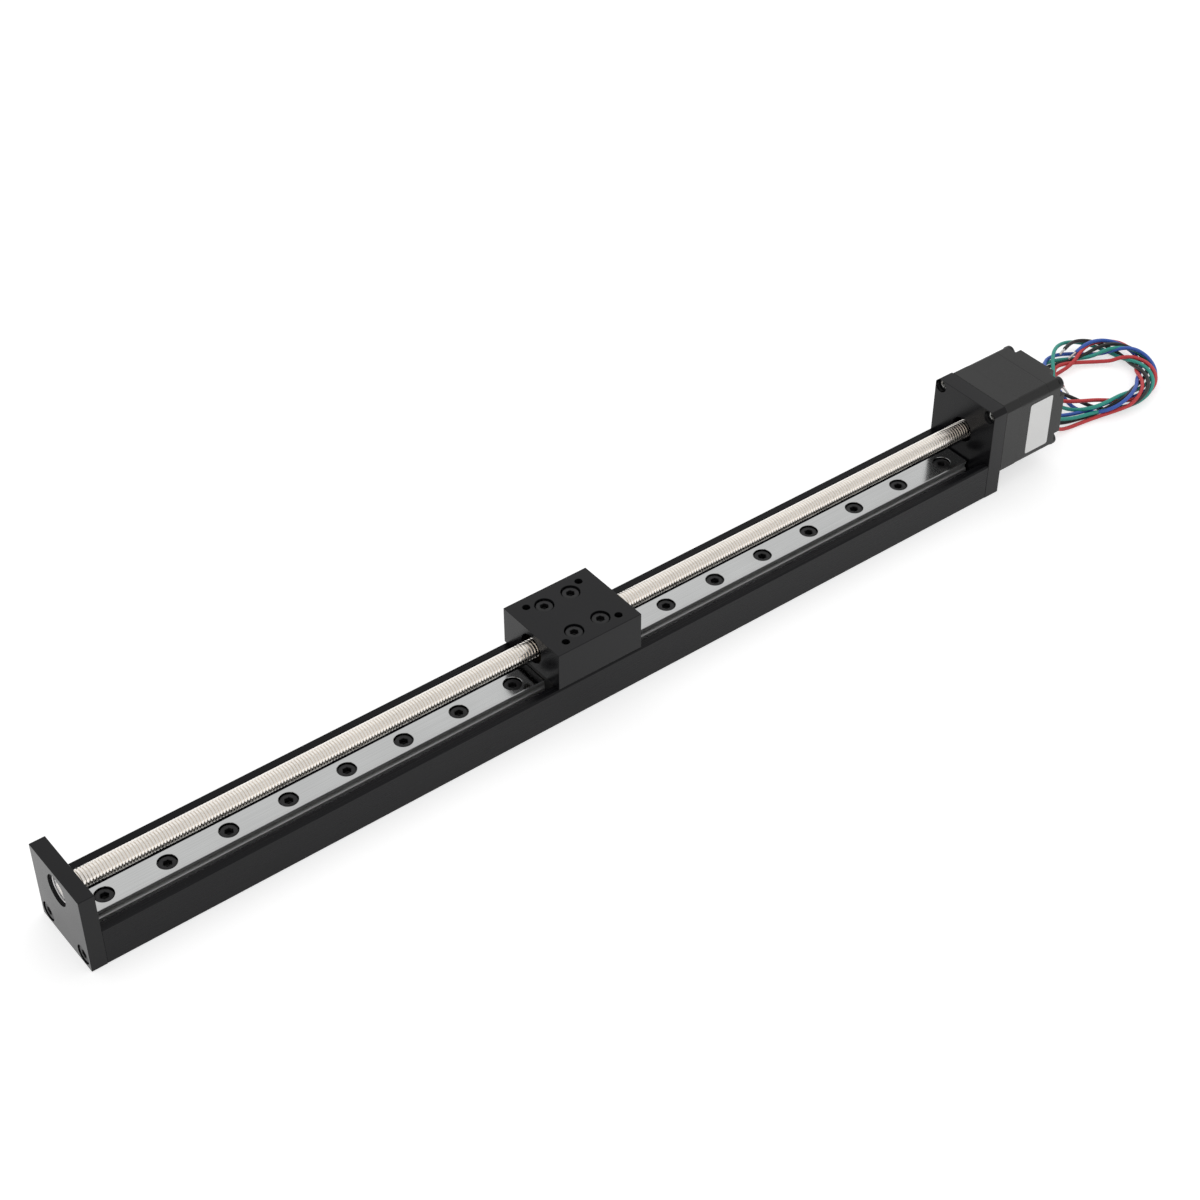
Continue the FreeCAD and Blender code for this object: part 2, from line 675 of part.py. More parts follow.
slots.Angle = 360
bind(slots, {"Occurrences": "size.pole_count"})
stack.Tip = slots

rear = new_body("motor_rear_cap", X_REAR, z=AXIS)
REAR = "size.rear_cap_length"
pad(rear, "YZ_Plane", octagon, REAR)
REAR_SEAT = "(size.bearing_width + size.washer_thick)"
REAR_SEAT_END = f"(size.seat_step + {REAR_SEAT})"
TAIL = f"({REAR} - size.edge_break - {REAR_SEAT_END})"
drill(rear, "YZ_Plane", [CAVITY], "size.seat_step", forward=True, sides=WIDE)
rear_bore = [("0", "0", "size.small_bearing")]
drill(rear, "YZ_Plane", rear_bore, REAR_SEAT, "size.seat_step", forward=True, sides=WIDE)
tail_bore = [("0", "0", "size.washer_bore")]
drill(rear, "YZ_Plane", tail_bore, TAIL, REAR_SEAT_END, forward=True, sides=SHOWN)
drill(rear, "YZ_Plane", motor_clear, REAR, REAR, sides=HIDDEN)
notches = new_sketch(rear, "YZ_Plane", REAR)
NOTCH = "size.notch_wall"
CLEAR = f"({SIDE} + size.edge_break)"
notch = ((NOTCH, NOTCH), (CLEAR, NOTCH), (CLEAR, CLEAR), (NOTCH, CLEAR))
for a, b in ((1, 1), (-1, 1), (-1, -1), (1, -1)):
    draw_polygon(notches, [(f"{a} * {y}", f"{b} * {z}") for y, z in notch])
corner_notches = rear.newObject("PartDesign::Pocket", "motor_rear_cap_notches")
corner_notches.Profile = notches
bind(corner_notches, {"Length": "size.notch_depth"})
window = new_sketch(rear, "YZ_Plane", REAR)
WINDOW = [
    (f"{a} * size.grommet_width / 2", f"{b} * size.grommet_height / 2 - size.grommet_drop")
    for a, b in ((-1, -1), (1, -1), (1, 1), (-1, 1))
]
draw_polygon(window, WINDOW)
lead_window = rear.newObject("PartDesign::Pocket", "motor_rear_cap_window")
lead_window.Profile = window
bind(lead_window, {"Length": f"{REAR} - size.seat_step"})

grommet = new_body("lead_grommet", f"{X_REAR} + size.seat_step", z=AXIS)
pad(grommet, "YZ_Plane", WINDOW, f"{REAR} - size.seat_step")

WASHER_AT = f"{REAR_BEARING_AT} + size.bearing_width"
keep(ring("preload_washer", "size.small_bearing", "size.washer_bore", "size.washer_thick", WASHER_AT))

# Windings: one coil round the neck of each pole
doc.recompute()
NECK_FIT = "(size.pole_neck + size.winding_gap)"
NECK_SKIN = "(size.pole_neck + 2 * size.winding_wall)"
WINDING_AT = f"({TIP} + size.winding_lift)"
coil_core = box(
    "winding_core",
    f"{STATOR_LENGTH} + 2 * size.winding_reach - 2 * size.winding_wall",
    NECK_FIT,
    "size.winding_height * 2",
    f"{X_STATOR} - size.winding_reach + size.winding_wall",
    f"-{NECK_FIT} / 2",
    f"{WINDING_AT} - size.winding_height / 2",
)
coil_skin = box(
    "winding_skin",
    f"{STATOR_LENGTH} + 2 * size.winding_reach",
    NECK_SKIN,
    "size.winding_height",
    f"{X_STATOR} - size.winding_reach",
    f"-{NECK_SKIN} / 2",
    WINDING_AT,
)
coil_master = joined("winding_master", "Part::Cut", coil_skin, coil_core)
POLE_STEP = 360 / int(sheet.pole_count)
axis_height = sheet.screw_height
coil_places = [
    Placement(Vector(0, 0, axis_height), Rotation(Vector(1, 0, 0), POLE_STEP * (n + 0.5)))
    for n in range(int(sheet.pole_count))
]
copies("motor_windings", coil_master, coil_places)

# Rotor: two iron cups on the screw's shaft with a magnet between them
CUP = "((size.rotor_length - size.magnet_length) / 2)"
ROTOR_AT = f"({X_STATOR} + ({STATOR_LENGTH} - size.rotor_length) / 2)"
ROTOR = "size.rotor_diameter"
SHAFT = "size.shaft_front"
cups = keep(doc.addObject("Part::Compound", "rotor_cups"))
cups.Links = [
    ring("rotor_cup_a", ROTOR, SHAFT, CUP, ROTOR_AT),
    ring("rotor_cup_b", ROTOR, SHAFT, CUP, f"{ROTOR_AT} + {CUP} + size.magnet_length"),
]
MAGNET = f"({ROTOR} - size.magnet_step)"
keep(ring("rotor_magnet", MAGNET, SHAFT, "size.magnet_length", f"{ROTOR_AT} + {CUP}"))

# Fasteners
THREE = ("size.m_three_head", "size.m_three_head_height")
rail_screw = cap_screw("rail_screw", "size.m_three", "size.rail_screw", *THREE)
end_screw = cap_screw("end_screw", "size.m_three", "size.end_screw", *THREE)
carriage_screw = cap_screw("carriage_screw", "size.m_three", "size.carriage_screw", *THREE)
motor_screw = cap_screw(
    "motor_screw", "size.m_motor", "size.motor_screw", "size.m_motor_head", "size.m_motor_head_height"
)
case_screw = cap_screw(
    "case_screw", "size.m_motor", "size.case_screw", "size.m_motor_head", "size.case_head"
)
grub_screw = prism("grub_screw", HIDDEN, "size.m_three - size.thread_gap", "size.grub_length")
doc.recompute()

EAST, WEST, NORTH = Vector(1, 0, 0), Vector(-1, 0, 0), Vector(0, 1, 0)
x_plate = plate.Placement.Base.x
x_mount = mount.Placement.Base.x
x_motor = front.Placement.Base.x
x_rear_face = rear.Placement.Base.x + sheet.rear_cap_length
x_first_hole = rail.Placement.Base.x + (sheet.rail_length - (sheet.hole_count - 1) * sheet.hole_pitch) / 2
rail_seat = sheet.seat_height + sheet.rail_height - sheet.rail_counterbore_depth
hole_xs = [x_first_hole + n * sheet.hole_pitch for n in range(int(sheet.hole_count))]
copies("rail_screws", rail_screw, [spot(x, 0, rail_seat) for x in hole_xs])

end_ys = [side * sheet.plate_screw_y for side in (-1, 1)]
x_plate_seat = x_plate + sheet.m_three_sink
copies("end_plate_screws", end_screw, [spot(x_plate_seat, y, sheet.plate_screw_z, WEST) for y in end_ys])
x_mount_seat = x_motor - sheet.m_three_sink
copies("mount_screws", end_screw, [spot(x_mount_seat, y, sheet.plate_screw_z, EAST) for y in end_ys])

bolt = sheet.motor_bolts / 2
corners = [(a * bolt, axis_height + b * bolt) for a in (-1, 1) for b in (-1, 1)]
x_motor_seat = x_mount + sheet.motor_sink
copies("motor_screws", motor_screw, [spot(x_motor_seat, y, z, WEST) for y, z in corners])
x_case_seat = x_rear_face - sheet.notch_depth
copies("motor_case_screws", case_screw, [spot(x_case_seat, y, z, EAST) for y, z in corners])

rest = sheet.carriage_rest
carriage_seat = sheet.seat_height + sheet.slider_top + sheet.carriage_height - sheet.carriage_sink
slider_spots = [
    (rest + a * sheet.slider_bolt_x / 2, b * sheet.slider_bolt_y / 2) for a in (-1, 1) for b in (-1, 1)
]
copies("carriage_screws", carriage_screw, [spot(x, y, carriage_seat) for x, y in slider_spots])
copies("nut_grub_screw", grub_screw, [spot(rest, sheet.nut_diameter / 2, axis_height, NORTH)])
ball_z = sheet.seat_height + sheet.rail_height - sheet.groove_drop
ball_y = (sheet.rail_width + sheet.slider_gap) / 2
ball_row = int(sheet.ball_count)
ball_xs = [rest + (n - (ball_row - 1) / 2) * sheet.ball_pitch for n in range(ball_row)]
copies("slider_balls", ball, [spot(x, side * ball_y, ball_z) for side in (-1, 1) for x in ball_xs])

# Free leads: four tubes from the grommet down to the floor
LEADS = ("lead_red", "lead_green", "lead_black", "lead_blue")
LEAD_SIDES = 6
COIL_SIDES = 20
ARC_SHARE = 0.45
exit_x = x_rear_face
exit_z = axis_height - sheet.grommet_drop
lead_radius = sheet.lead_diameter / 2


def lead_route(index):
    """Corners of one lead's path: out of the grommet, down to the floor and into the coil's band."""
    start_y = (index - (len(LEADS) - 1) / 2) * sheet.lead_spacing
    coil_level = sheet.coil_height / 2
    halfway = (exit_z + coil_level) / 2 - lead_radius
    corners = [
        (0, exit_z),
        (sheet.lead_straight, exit_z),
        (sheet.lead_drop, halfway),
        (sheet.lead_landing, coil_level),
        (sheet.lead_reach, coil_level),
    ]
    loose = sheet.lead_reach - sheet.lead_straight
    drifts = [sheet.lead_drift * (max(0, along - sheet.lead_straight) / loose) ** 2 for along, z in corners]
    return [Vector(exit_x + along, start_y - drift, z) for (along, z), drift in zip(corners, drifts)]


def tube(points, radius):
    """A tube along straight runs joined by tangent arcs that are as large as the runs allow."""
    edges = []
    start = points[0]
    for before, corner, after in zip(points, points[1:], points[2:]):
        inward = (before - corner).normalize()
        onward = (after - corner).normalize()
        reach = ARC_SHARE * min((before - corner).Length, (after - corner).Length)
        enter = corner + inward * reach
        leave = corner + onward * reach
        half_turn = (math.pi - inward.getAngle(onward)) / 2
        bend = reach / math.tan(half_turn)
        middle = corner + (inward + onward).normalize() * (bend / math.cos(half_turn) - bend)
        edges.append(Part.LineSegment(start, enter).toShape())
        edges.append(Part.Arc(enter, middle, leave).toShape())
        start = leave
    edges.append(Part.LineSegment(start, points[-1]).toShape())
    path = Part.Wire(edges)
    facing = Rotation(Vector(0, 0, 1), points[1] - points[0])
    corners = [Vector(radius, 0, 0)]
    for step in range(1, LEAD_SIDES + 1):
        corners.append(Rotation(Vector(0, 0, 1), 360 * step / LEAD_SIDES).multVec(corners[0]))
    section = Part.makePolygon([points[0] + facing.multVec(corner) for corner in corners])
    return path.makePipeShell([section], True, False)


for index, name in enumerate(LEADS):
    lead = keep(doc.addObject("Part::Feature", name))
    lead.Shape = tube(lead_route(index), lead_radius)
    lead.Placement = Placement()

# Coil: the band that the four leads fill where they lie in loops on the floor
coil = new_body("lead_coil", "size.coil_centre_x", "size.coil_centre_y")


def oval(level):
    """Corners of an oval that is turned about its middle."""
    corners = []
    for n in range(COIL_SIDES):
        along = f"size.coil_{level}_long * {math.cos(math.tau * n / COIL_SIDES)}"
        across = f"size.coil_{level}_short * {math.sin(math.tau * n / COIL_SIDES)}"
        corners.append(
            (
                f"{along} * cos(size.coil_turn) - {across} * sin(size.coil_turn)",
                f"{along} * sin(size.coil_turn) + {across} * cos(size.coil_turn)",
            )
        )
    return corners


pad(coil, "XY_Plane", oval("outer"), "size.coil_height")
hole_sketch = new_sketch(coil, "XY_Plane", "size.coil_height")
draw_polygon(hole_sketch, oval("inner"))
coil_hole = coil.newObject("PartDesign::Pocket", "lead_coil_hole")
coil_hole.Profile = hole_sketch
bind(coil_hole, {"Length": "size.coil_height"})

doc.recompute()
failed = [item.Name for item in doc.Objects if {"Invalid", "Error"} & set(item.State)]
if failed:
    raise RuntimeError(f"failed objects: {failed}")
for item in parts:
    if item.Shape.isNull() or not item.Shape.isValid():
        raise RuntimeError(f"bad shape: {item.Label}")

os.makedirs("parts", exist_ok=True)
for item in parts:
    item.Shape.exportStep(f"parts/{item.Label}.step")
print(f"{len(parts)} sub-parts written")
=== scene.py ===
"""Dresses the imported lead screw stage: its leads, thread, drilled pieces, socket screws and finishes.

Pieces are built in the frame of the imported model, +X along the screw towards the motor and +Z up.
The building functions work in millimetres and the finished meshes are in metres.
"""

import math

import bpy
from bpy.props import FloatProperty, FloatVectorProperty, IntProperty, PointerProperty
from mathutils import Matrix, Vector


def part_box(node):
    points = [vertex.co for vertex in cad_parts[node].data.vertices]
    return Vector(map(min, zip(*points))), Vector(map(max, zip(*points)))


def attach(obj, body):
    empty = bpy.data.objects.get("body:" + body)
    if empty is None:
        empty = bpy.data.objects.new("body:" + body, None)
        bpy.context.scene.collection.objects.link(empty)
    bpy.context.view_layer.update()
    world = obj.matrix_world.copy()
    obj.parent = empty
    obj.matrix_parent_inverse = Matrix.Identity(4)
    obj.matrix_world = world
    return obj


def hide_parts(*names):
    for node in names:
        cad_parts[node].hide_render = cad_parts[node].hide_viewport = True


bl_info = {
    "name": "Lead screw stage",
    "version": (1, 0, 0),
    "blender": (4, 5, 0),
    "location": "View3D > Sidebar > Lead screw stage",
    "description": "Builds the visible pieces and finishes of a motor-driven lead screw stage",
    "category": "Object",
}

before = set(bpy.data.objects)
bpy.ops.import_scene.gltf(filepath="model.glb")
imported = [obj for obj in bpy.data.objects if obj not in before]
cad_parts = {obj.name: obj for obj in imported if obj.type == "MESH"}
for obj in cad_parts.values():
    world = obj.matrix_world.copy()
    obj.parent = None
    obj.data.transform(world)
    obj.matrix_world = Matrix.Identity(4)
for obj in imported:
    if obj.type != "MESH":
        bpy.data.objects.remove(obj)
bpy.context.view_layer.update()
MM = 0.001


def box_mm(node):
    """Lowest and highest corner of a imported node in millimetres."""
    low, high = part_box(node)
    return low / MM, high / MM


SCREW_LOW, SCREW_HIGH = box_mm("lead_screw")
PLATE_LOW, PLATE_HIGH = box_mm("end_plate")
BASE_LOW, BASE_HIGH = box_mm("base_channel")
RAIL_LOW, RAIL_HIGH = box_mm("linear_rail")
MOUNT_LOW, MOUNT_HIGH = box_mm("motor_mount")
BLOCK_LOW, BLOCK_HIGH = box_mm("carriage_block")
STACK_LOW, STACK_HIGH = box_mm("motor_stator")
REAR_LOW, REAR_HIGH = box_mm("motor_rear_cap")
AXIS_Z = (SCREW_LOW.z + SCREW_HIGH.z) / 2
BLOCK_MIDDLE = (BLOCK_LOW.x + BLOCK_HIGH.x) / 2
EAST = Vector((1, 0, 0))
WEST = Vector((-1, 0, 0))
NEARWARD = Vector((0, -1, 0))
UP = Vector((0, 0, 1))
DOWN = Vector((0, 0, -1))
SIDES = (-1, 1)
CORNERS = [(a, b) for a in SIDES for b in SIDES]

# Sizes in millimetres that several pieces share
THROUGH = 7
HEAD_ROOM = 3.1
SHANK_ROOM = 1.7
TAP_RADIUS = 1.25
END_SINK = 3.3
END_SCREW_Y = 10
END_SCREW_Z = 3.6
BLOCK_SINK = 3.5
RAIL_SINK = 3.5
MOTOR_SINK = 4.0
RAIL_PITCH = 20.0
RAIL_HOLES = 17
MOTOR_HALF = 13.95
MOTOR_BOLT = 11.5
TIE_ROOM = 1.4
NOTCH_WALL = 7.7
NOTCH_DEPTH = 2.6
BEARING_RADIUS = 5.0
BEARING_SINK = 1.0
SCREW_RADIUS = 3.0
JOURNAL_RADIUS = 2.0
SHAFT_RADIUS = 2.5


def rail_hole_places():
    """Where the rail's holes lie along X."""
    middle = (RAIL_LOW.x + RAIL_HIGH.x) / 2
    return [middle + (n - RAIL_HOLES // 2) * RAIL_PITCH for n in range(RAIL_HOLES)]


def end_screw_places(x):
    """The two screws that hold an end piece to the channel, at x."""
    return [(x, side * END_SCREW_Y, END_SCREW_Z) for side in SIDES]


def block_places(reach_x, reach_y, z):
    """Four places about the middle of the carriage, at z."""
    return [(BLOCK_MIDDLE + a * reach_x, b * reach_y, z) for a, b in CORNERS]


def slider_screw_places(z):
    return block_places(5, 7.5, z)


def load_hole_places(z):
    return block_places(10, 10, z)


def motor_bolt_places(x):
    """The four bolts in the motor's corners, at x."""
    return [(x, a * MOTOR_BOLT, AXIS_Z + b * MOTOR_BOLT) for a, b in CORNERS]


# Sizes and colours that a user may change


def length(name, description, default):
    return FloatProperty(name=name, description=description, default=default, unit="LENGTH", precision=5)


def colour(name, description, default):
    return FloatVectorProperty(
        name=name, description=description, default=default, size=3, min=0, max=1, subtype="COLOR"
    )


class StudioSettings(bpy.types.PropertyGroup):
    lens: FloatProperty(name="Lens", description="Focal length of the camera", default=71.7, unit="CAMERA")
    floor_colour: colour("Floor", "Colour of the floor", (0.62, 0.62, 0.62))
    key_power: FloatProperty(name="Key", description="Power of the large lamp", default=6.5, unit="POWER")
    key_size: length("Key size", "Side of the large lamp", 2.1)
    key_gloss: FloatProperty(
        name="Key gloss",
        description="Share of the large lamp that shows in gloss",
        default=0.4,
        min=0,
        max=1,
        subtype="FACTOR",
    )
    ambient: FloatProperty(name="Ambient", description="Light from all round", default=0.75, min=0)


class LeadSettings(bpy.types.PropertyGroup):
    diameter: length("Diameter", "Outside diameter of one lead", 0.0014)
    bare_end: length("Bare end", "Length of tinned strand at a lead's free end", 0.0045)
    red: colour("Red", "Insulation of the first lead", (0.62, 0.042, 0.048))
    green: colour("Green", "Insulation of the second lead", (0.024, 0.34, 0.27))
    black: colour("Black", "Insulation of the third lead", (0.012, 0.012, 0.013))
    blue: colour("Blue", "Insulation of the fourth lead", (0.036, 0.115, 0.49))


class ThreadSettings(bpy.types.PropertyGroup):
    pitch: length("Lead", "Advance of the thread in one turn", 0.001)
    depth: length("Depth", "Height of the thread", 0.00044)
    segments: IntProperty(name="Segments", description="Faces round one turn", default=20, min=8)


class EdgeSettings(bpy.types.PropertyGroup):
    machined: length("Machined edge", "Broken edge of milled blocks and plates", 0.00025)
    cast: length("Cast edge", "Rounded edge of the motor's caps", 0.0005)
    hole: length("Hole edge", "Broken edge of holes", 0.00008)


class FinishSettings(bpy.types.PropertyGroup):
    anodised: colour("Anodised", "Black anodised aluminium", (0.006, 0.006, 0.007))
    ground: colour("Ground steel", "Rail and slider", (0.53, 0.535, 0.532))
    thread: colour("Screw steel", "Rolled lead screw", (0.92, 0.88, 0.83))
    blackened: colour("Blackened steel", "Black socket screws", (0.02, 0.02, 0.021))
    motor: colour("Motor paint", "Satin black of the motor", (0.0095, 0.0095, 0.0092))
    label: colour("Label", "Blank film on the motor", (0.94, 0.94, 0.93))


# Outlines across the stage, as counter-clockwise (y, z) corners


def rectangle(low, high):
    corners = ((low.y, low.z), (high.y, low.z), (high.y, high.z), (low.y, high.z))
    return [Vector(corner) for corner in corners]


def mirrored(side):
    """A whole outline from the corners of its far half, from the bottom up."""
    return [Vector(p) for p in side] + [Vector((-y, z)) for y, z in reversed(side)]


def eased(outline, reach, steps=3):
    """The outline with each corner rounded over reach."""
    rounded = []
    for i, corner in enumerate(outline):
        before = (outline[i - 1] - corner).normalized() * reach
        after = (outline[(i + 1) % len(outline)] - corner).normalized() * reach
        for step in range(steps + 1):
            share = step / steps
            rounded.append(corner + before * (1 - share) ** 2 + after * share**2)
    return rounded


def inset(outline, depth):
    """The outline with each edge moved inwards by depth."""
    moved = []
    for i, corner in enumerate(outline):
        along = (corner - outline[i - 1]).normalized()
        onward = (outline[(i + 1) % len(outline)] - corner).normalized()
        inward = Vector((-along.y - onward.y, along.x + onward.x))
        moved.append(corner + inward * (depth / (1 + along.dot(onward))))
    return moved


def motor_outline():
    """The motor's octagon about the screw's axis."""
    half = MOTOR_HALF
    cut = half - 2.1
    corners = [(half, -cut), (half, cut), (cut, half), (-cut, half)]
    corners += [(-half, cut), (-half, -cut), (-cut, -half), (cut, -half)]
    return [Vector((y, z + AXIS_Z)) for y, z in corners]


# Solids as lists of points and faces


def joined(solids):
    """Several solids as one list of points and one list of faces."""
    points, faces = [], []
    for more_points, more_faces in solids:
        first = len(points)
        points += more_points
        faces += [tuple(first + i for i in face) for face in more_faces]
    return points, faces


def walls(count, total):
    """Faces between rings of count points that follow one another up to a total."""
    faces = []
    for row in range(0, total - count, count):
        for i in range(count):
            j = (i + 1) % count
            faces.append((row + i, row + j, row + count + j, row + count + i))
    return faces


def prism(outline, stations):
    """A solid along X through (x, inset) stations of one outline."""
    count = len(outline)
    points = [Vector((x, p.x, p.y)) for x, depth in stations for p in inset(outline, depth)]
    ends = [tuple(reversed(range(count))), tuple(range(len(points) - count, len(points)))]
    return points, ends + walls(count, len(points))


def eased_ends(low, high, reach):
    """Stations of a prism whose two ends have broken edges, to go with corners eased over reach."""
    rise = [(0, 0.6 * reach), (0.2 * reach, 0.2 * reach), (0.6 * reach, 0)]
    start = [(low + along, depth) for along, depth in rise]
    return start + [(high - along, depth) for along, depth in reversed(rise)]


def cut_ends(low, high, cut):
    """Stations of a prism with a flat chamfer round both ends."""
    return [(low, cut), (low + cut, 0), (high - cut, 0), (high, cut)]


def turned(profile, origin, direction, segments=32, hollow=False):
    """A solid of revolution from (distance, radius) corners; a radius of zero makes a point.

    A hollow one joins its last corner to its first instead of closing both ends.
    """
    facing = UP.rotation_difference(direction)
    points, faces, rings = [], [], []
    for distance, radius in profile:
        steps = segments if radius else 1
        rings.append([len(points) + i for i in range(steps)])
        for i in range(steps):
            angle = math.tau * i / segments
            spot = Vector((radius * math.cos(angle), radius * math.sin(angle), distance))
            points.append(Vector(origin) + facing @ spot)
    for near, far in zip(rings, rings[1:] + rings[: int(hollow)]):
        for i in range(segments):
            j = (i + 1) % segments
            corners = [near[i % len(near)], near[j % len(near)], far[j % len(far)], far[i % len(far)]]
            faces.append(tuple(dict.fromkeys(corners)))
    if len(rings[0]) > 1 and not hollow:
        faces.append(tuple(reversed(rings[0])))
    if len(rings[-1]) > 1 and not hollow:
        faces.append(tuple(rings[-1]))
    return points, faces


def hole(mouth, direction, steps, edge):
    """A cutter for a stepped round hole: steps are (depth, radius), widest first."""
    profile = [(-1, steps[0][1] + edge + 1), (0, steps[0][1] + edge), (edge, steps[0][1])]
    for i, (depth, radius) in enumerate(steps):
        profile.append((depth, radius))
        if i + 1 < len(steps):
            profile.append((depth, steps[i + 1][1]))
    return turned(profile, mouth, direction)


def socket_screw(seat, direction, head, height, shank, reach):
    """A cap screw with a hexagon socket: head above the seat along direction, shank below it."""
    segments = 24
    facing = UP.rotation_difference(direction)
    key = head * 0.45
    wall = [(-reach, 0.8 * shank), (-reach + 0.2 * shank, shank), (0, shank), (0, head - 0.1), (0.1, head)]
    wall += [(height - 0.35, head), (height - 0.1, head - 0.1), (height, head - 0.35)]
    rings = [[(r * math.cos(a), r * math.sin(a)) for a in turns(segments)] for _, r in wall]
    heights = [z for z, _ in wall]
    for z, grow in ((height, 1.12), (height - 0.12, 1.0), (height * 0.45, 1.0)):
        rings.append([hexagon(a, key * grow) for a in turns(segments)])
        heights.append(z)
    points = [Vector(seat) + facing @ Vector((x, y, z)) for ring, z in zip(rings, heights) for x, y in ring]
    faces = [tuple(reversed(range(segments)))] + walls(segments, len(points))
    points.append(Vector(seat) + facing @ Vector((0, 0, height * 0.3)))
    last = len(points) - 1
    faces += [(last - segments + i, last - segments + (i + 1) % segments, last) for i in range(segments)]
    return points, faces


def screws(seats, direction, size, reach):
    """Socket screws of one size and direction, as one solid."""
    return joined([socket_screw(seat, direction, *size, reach) for seat in seats])


def turns(count):
    return [math.tau * i / count for i in range(count)]


def hexagon(angle, flat):
    """The point of a hexagon in a direction; flat is half the width across its flats."""
    reach = flat / math.cos((angle % (math.pi / 3)) - math.pi / 6)
    return reach * math.cos(angle), reach * math.sin(angle)


# Objects

SHARP_ANGLE = math.radians(32)


def solid_object(name, solid):
    points, faces = solid
    mesh = bpy.data.meshes.new(name)
    mesh.from_pydata([p * MM for p in points], [], faces)
    item = bpy.data.objects.new(name, mesh)
    bpy.context.scene.collection.objects.link(item)
    return item


def carved(name, solid, *cutters):
    """An object with groups of cutters taken out of it one group after another."""
    item = solid_object(name, solid)
    tools = []
    for group in cutters:
        tool = solid_object(name + "_cutter", joined(group))
        cut = item.modifiers.new("cut", "BOOLEAN")
        cut.operation = "DIFFERENCE"
        cut.solver = "EXACT"
        cut.object = tool
        tools.append(tool)
    graph = bpy.context.evaluated_depsgraph_get()
    mesh = bpy.data.meshes.new_from_object(item.evaluated_get(graph))
    item.modifiers.clear()
    item.data = mesh
    for tool in tools:
        bpy.data.objects.remove(tool)
    if len(mesh.polygons) <= len(solid[1]):
        raise RuntimeError(f"{name}: its holes were not cut")
    return item


def settle(item, body, nodes, material):
    """Gives a mesh piece its shading as well as what place gives it."""
    item.data.shade_smooth()
    item.data.set_sharp_from_angle(angle=SHARP_ANGLE)
    flat = item.modifiers.new("flat_faces", "WEIGHTED_NORMAL")
    flat.keep_sharp = True
    return place(item, body, nodes, material)


def place(item, body, nodes, material):
    """Gives a piece its finish and body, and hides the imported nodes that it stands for."""
    item.data.materials.clear()
    item.data.materials.append(material)
    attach(item, body)
    if nodes:
        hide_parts(*nodes)
    return item


def finish_faces(item, material, chosen):
    """Gives another finish to the faces that chosen picks by their middle in millimetres and their normal."""
    item.data.materials.append(material)
    for face in item.data.polygons:
        if chosen(face.center / MM, face.normal):
            face.material_index = 1


# Finishes

CLOUD_SCALE = 60.0
GRAIN_SHARE = 0.6
CLOUD_SHARE = 0.4
NOISE_LOW = 0.3
NOISE_HIGH = 0.7
DRAWN = (0.02, 1, 1)
GROUND = (0.012, 1, 1)


def worked_out(tree, operation, *terms):
    """The result of a calculation on terms that are sockets or numbers."""
    node = tree.nodes.new("ShaderNodeMath")
    node.operation = operation
    for entry, term in zip(node.inputs, terms):
        if isinstance(term, float):
            entry.default_value = term
        else:
            tree.links.new(term, entry)
    return node.outputs["Value"]


def finish(name, tint, shift, roughness, metallic, scale, bump, stretch=(1, 1, 1), specular=0.5):
    """A material with a grain: colour and roughness wander with it, and bump is its height in metres."""
    if name in bpy.data.materials:
        return bpy.data.materials[name]
    material = bpy.data.materials.new(name)
    material.use_nodes = True
    tree = material.node_tree
    shader = tree.nodes["Principled BSDF"]
    shader.inputs["Metallic"].default_value = metallic
    shader.inputs["Specular IOR Level"].default_value = specular
    place_on = tree.nodes.new("ShaderNodeTexCoord")
    spread = tree.nodes.new("ShaderNodeMapping")
    spread.inputs["Scale"].default_value = stretch
    tree.links.new(place_on.outputs["Object"], spread.inputs["Vector"])
    grain = tree.nodes.new("ShaderNodeTexNoise")
    grain.inputs["Scale"].default_value = scale
    grain.inputs["Detail"].default_value = 4.0
    tree.links.new(spread.outputs["Vector"], grain.inputs["Vector"])
    cloud = tree.nodes.new("ShaderNodeTexNoise")
    cloud.inputs["Scale"].default_value = CLOUD_SCALE
    cloud.inputs["Detail"].default_value = 2.0
    tree.links.new(place_on.outputs["Object"], cloud.inputs["Vector"])
    share = worked_out(tree, "MULTIPLY", cloud.outputs["Fac"], CLOUD_SHARE)
    both = worked_out(tree, "MULTIPLY_ADD", grain.outputs["Fac"], GRAIN_SHARE, share)
    tone = tree.nodes.new("ShaderNodeValToRGB")
    dark, light = tone.color_ramp.elements
    dark.position = NOISE_LOW
    light.position = NOISE_HIGH
    dark.color = (*[c * (1 - shift) for c in tint], 1)
    light.color = (*[min(1, c * (1 + shift)) for c in tint], 1)
    tree.links.new(both, tone.inputs["Fac"])
    tree.links.new(tone.outputs["Color"], shader.inputs["Base Color"])
    gloss = tree.nodes.new("ShaderNodeMapRange")
    gloss.inputs["From Min"].default_value = NOISE_LOW
    gloss.inputs["From Max"].default_value = NOISE_HIGH
    gloss.inputs["To Min"].default_value = roughness[0]
    gloss.inputs["To Max"].default_value = roughness[1]
    tree.links.new(both, gloss.inputs["Value"])
    tree.links.new(gloss.outputs["Result"], shader.inputs["Roughness"])
    relief = tree.nodes.new("ShaderNodeBump")
    relief.inputs["Distance"].default_value = bump
    tree.links.new(grain.outputs["Fac"], relief.inputs["Height"])
    tree.links.new(relief.outputs["Normal"], shader.inputs["Normal"])
    return material


def colours():
    return bpy.context.scene.stage_finishes


def anodised():
    return black_film("anodised_black", (0.18, 0.26), (1, 1, 1), 0.22)


def extruded():
    return black_film("anodised_extrusion", (0.22, 0.32), DRAWN, 0.18)


def wall_top():
    return black_film("anodised_wall_top", (0.22, 0.32), DRAWN, 0.1)


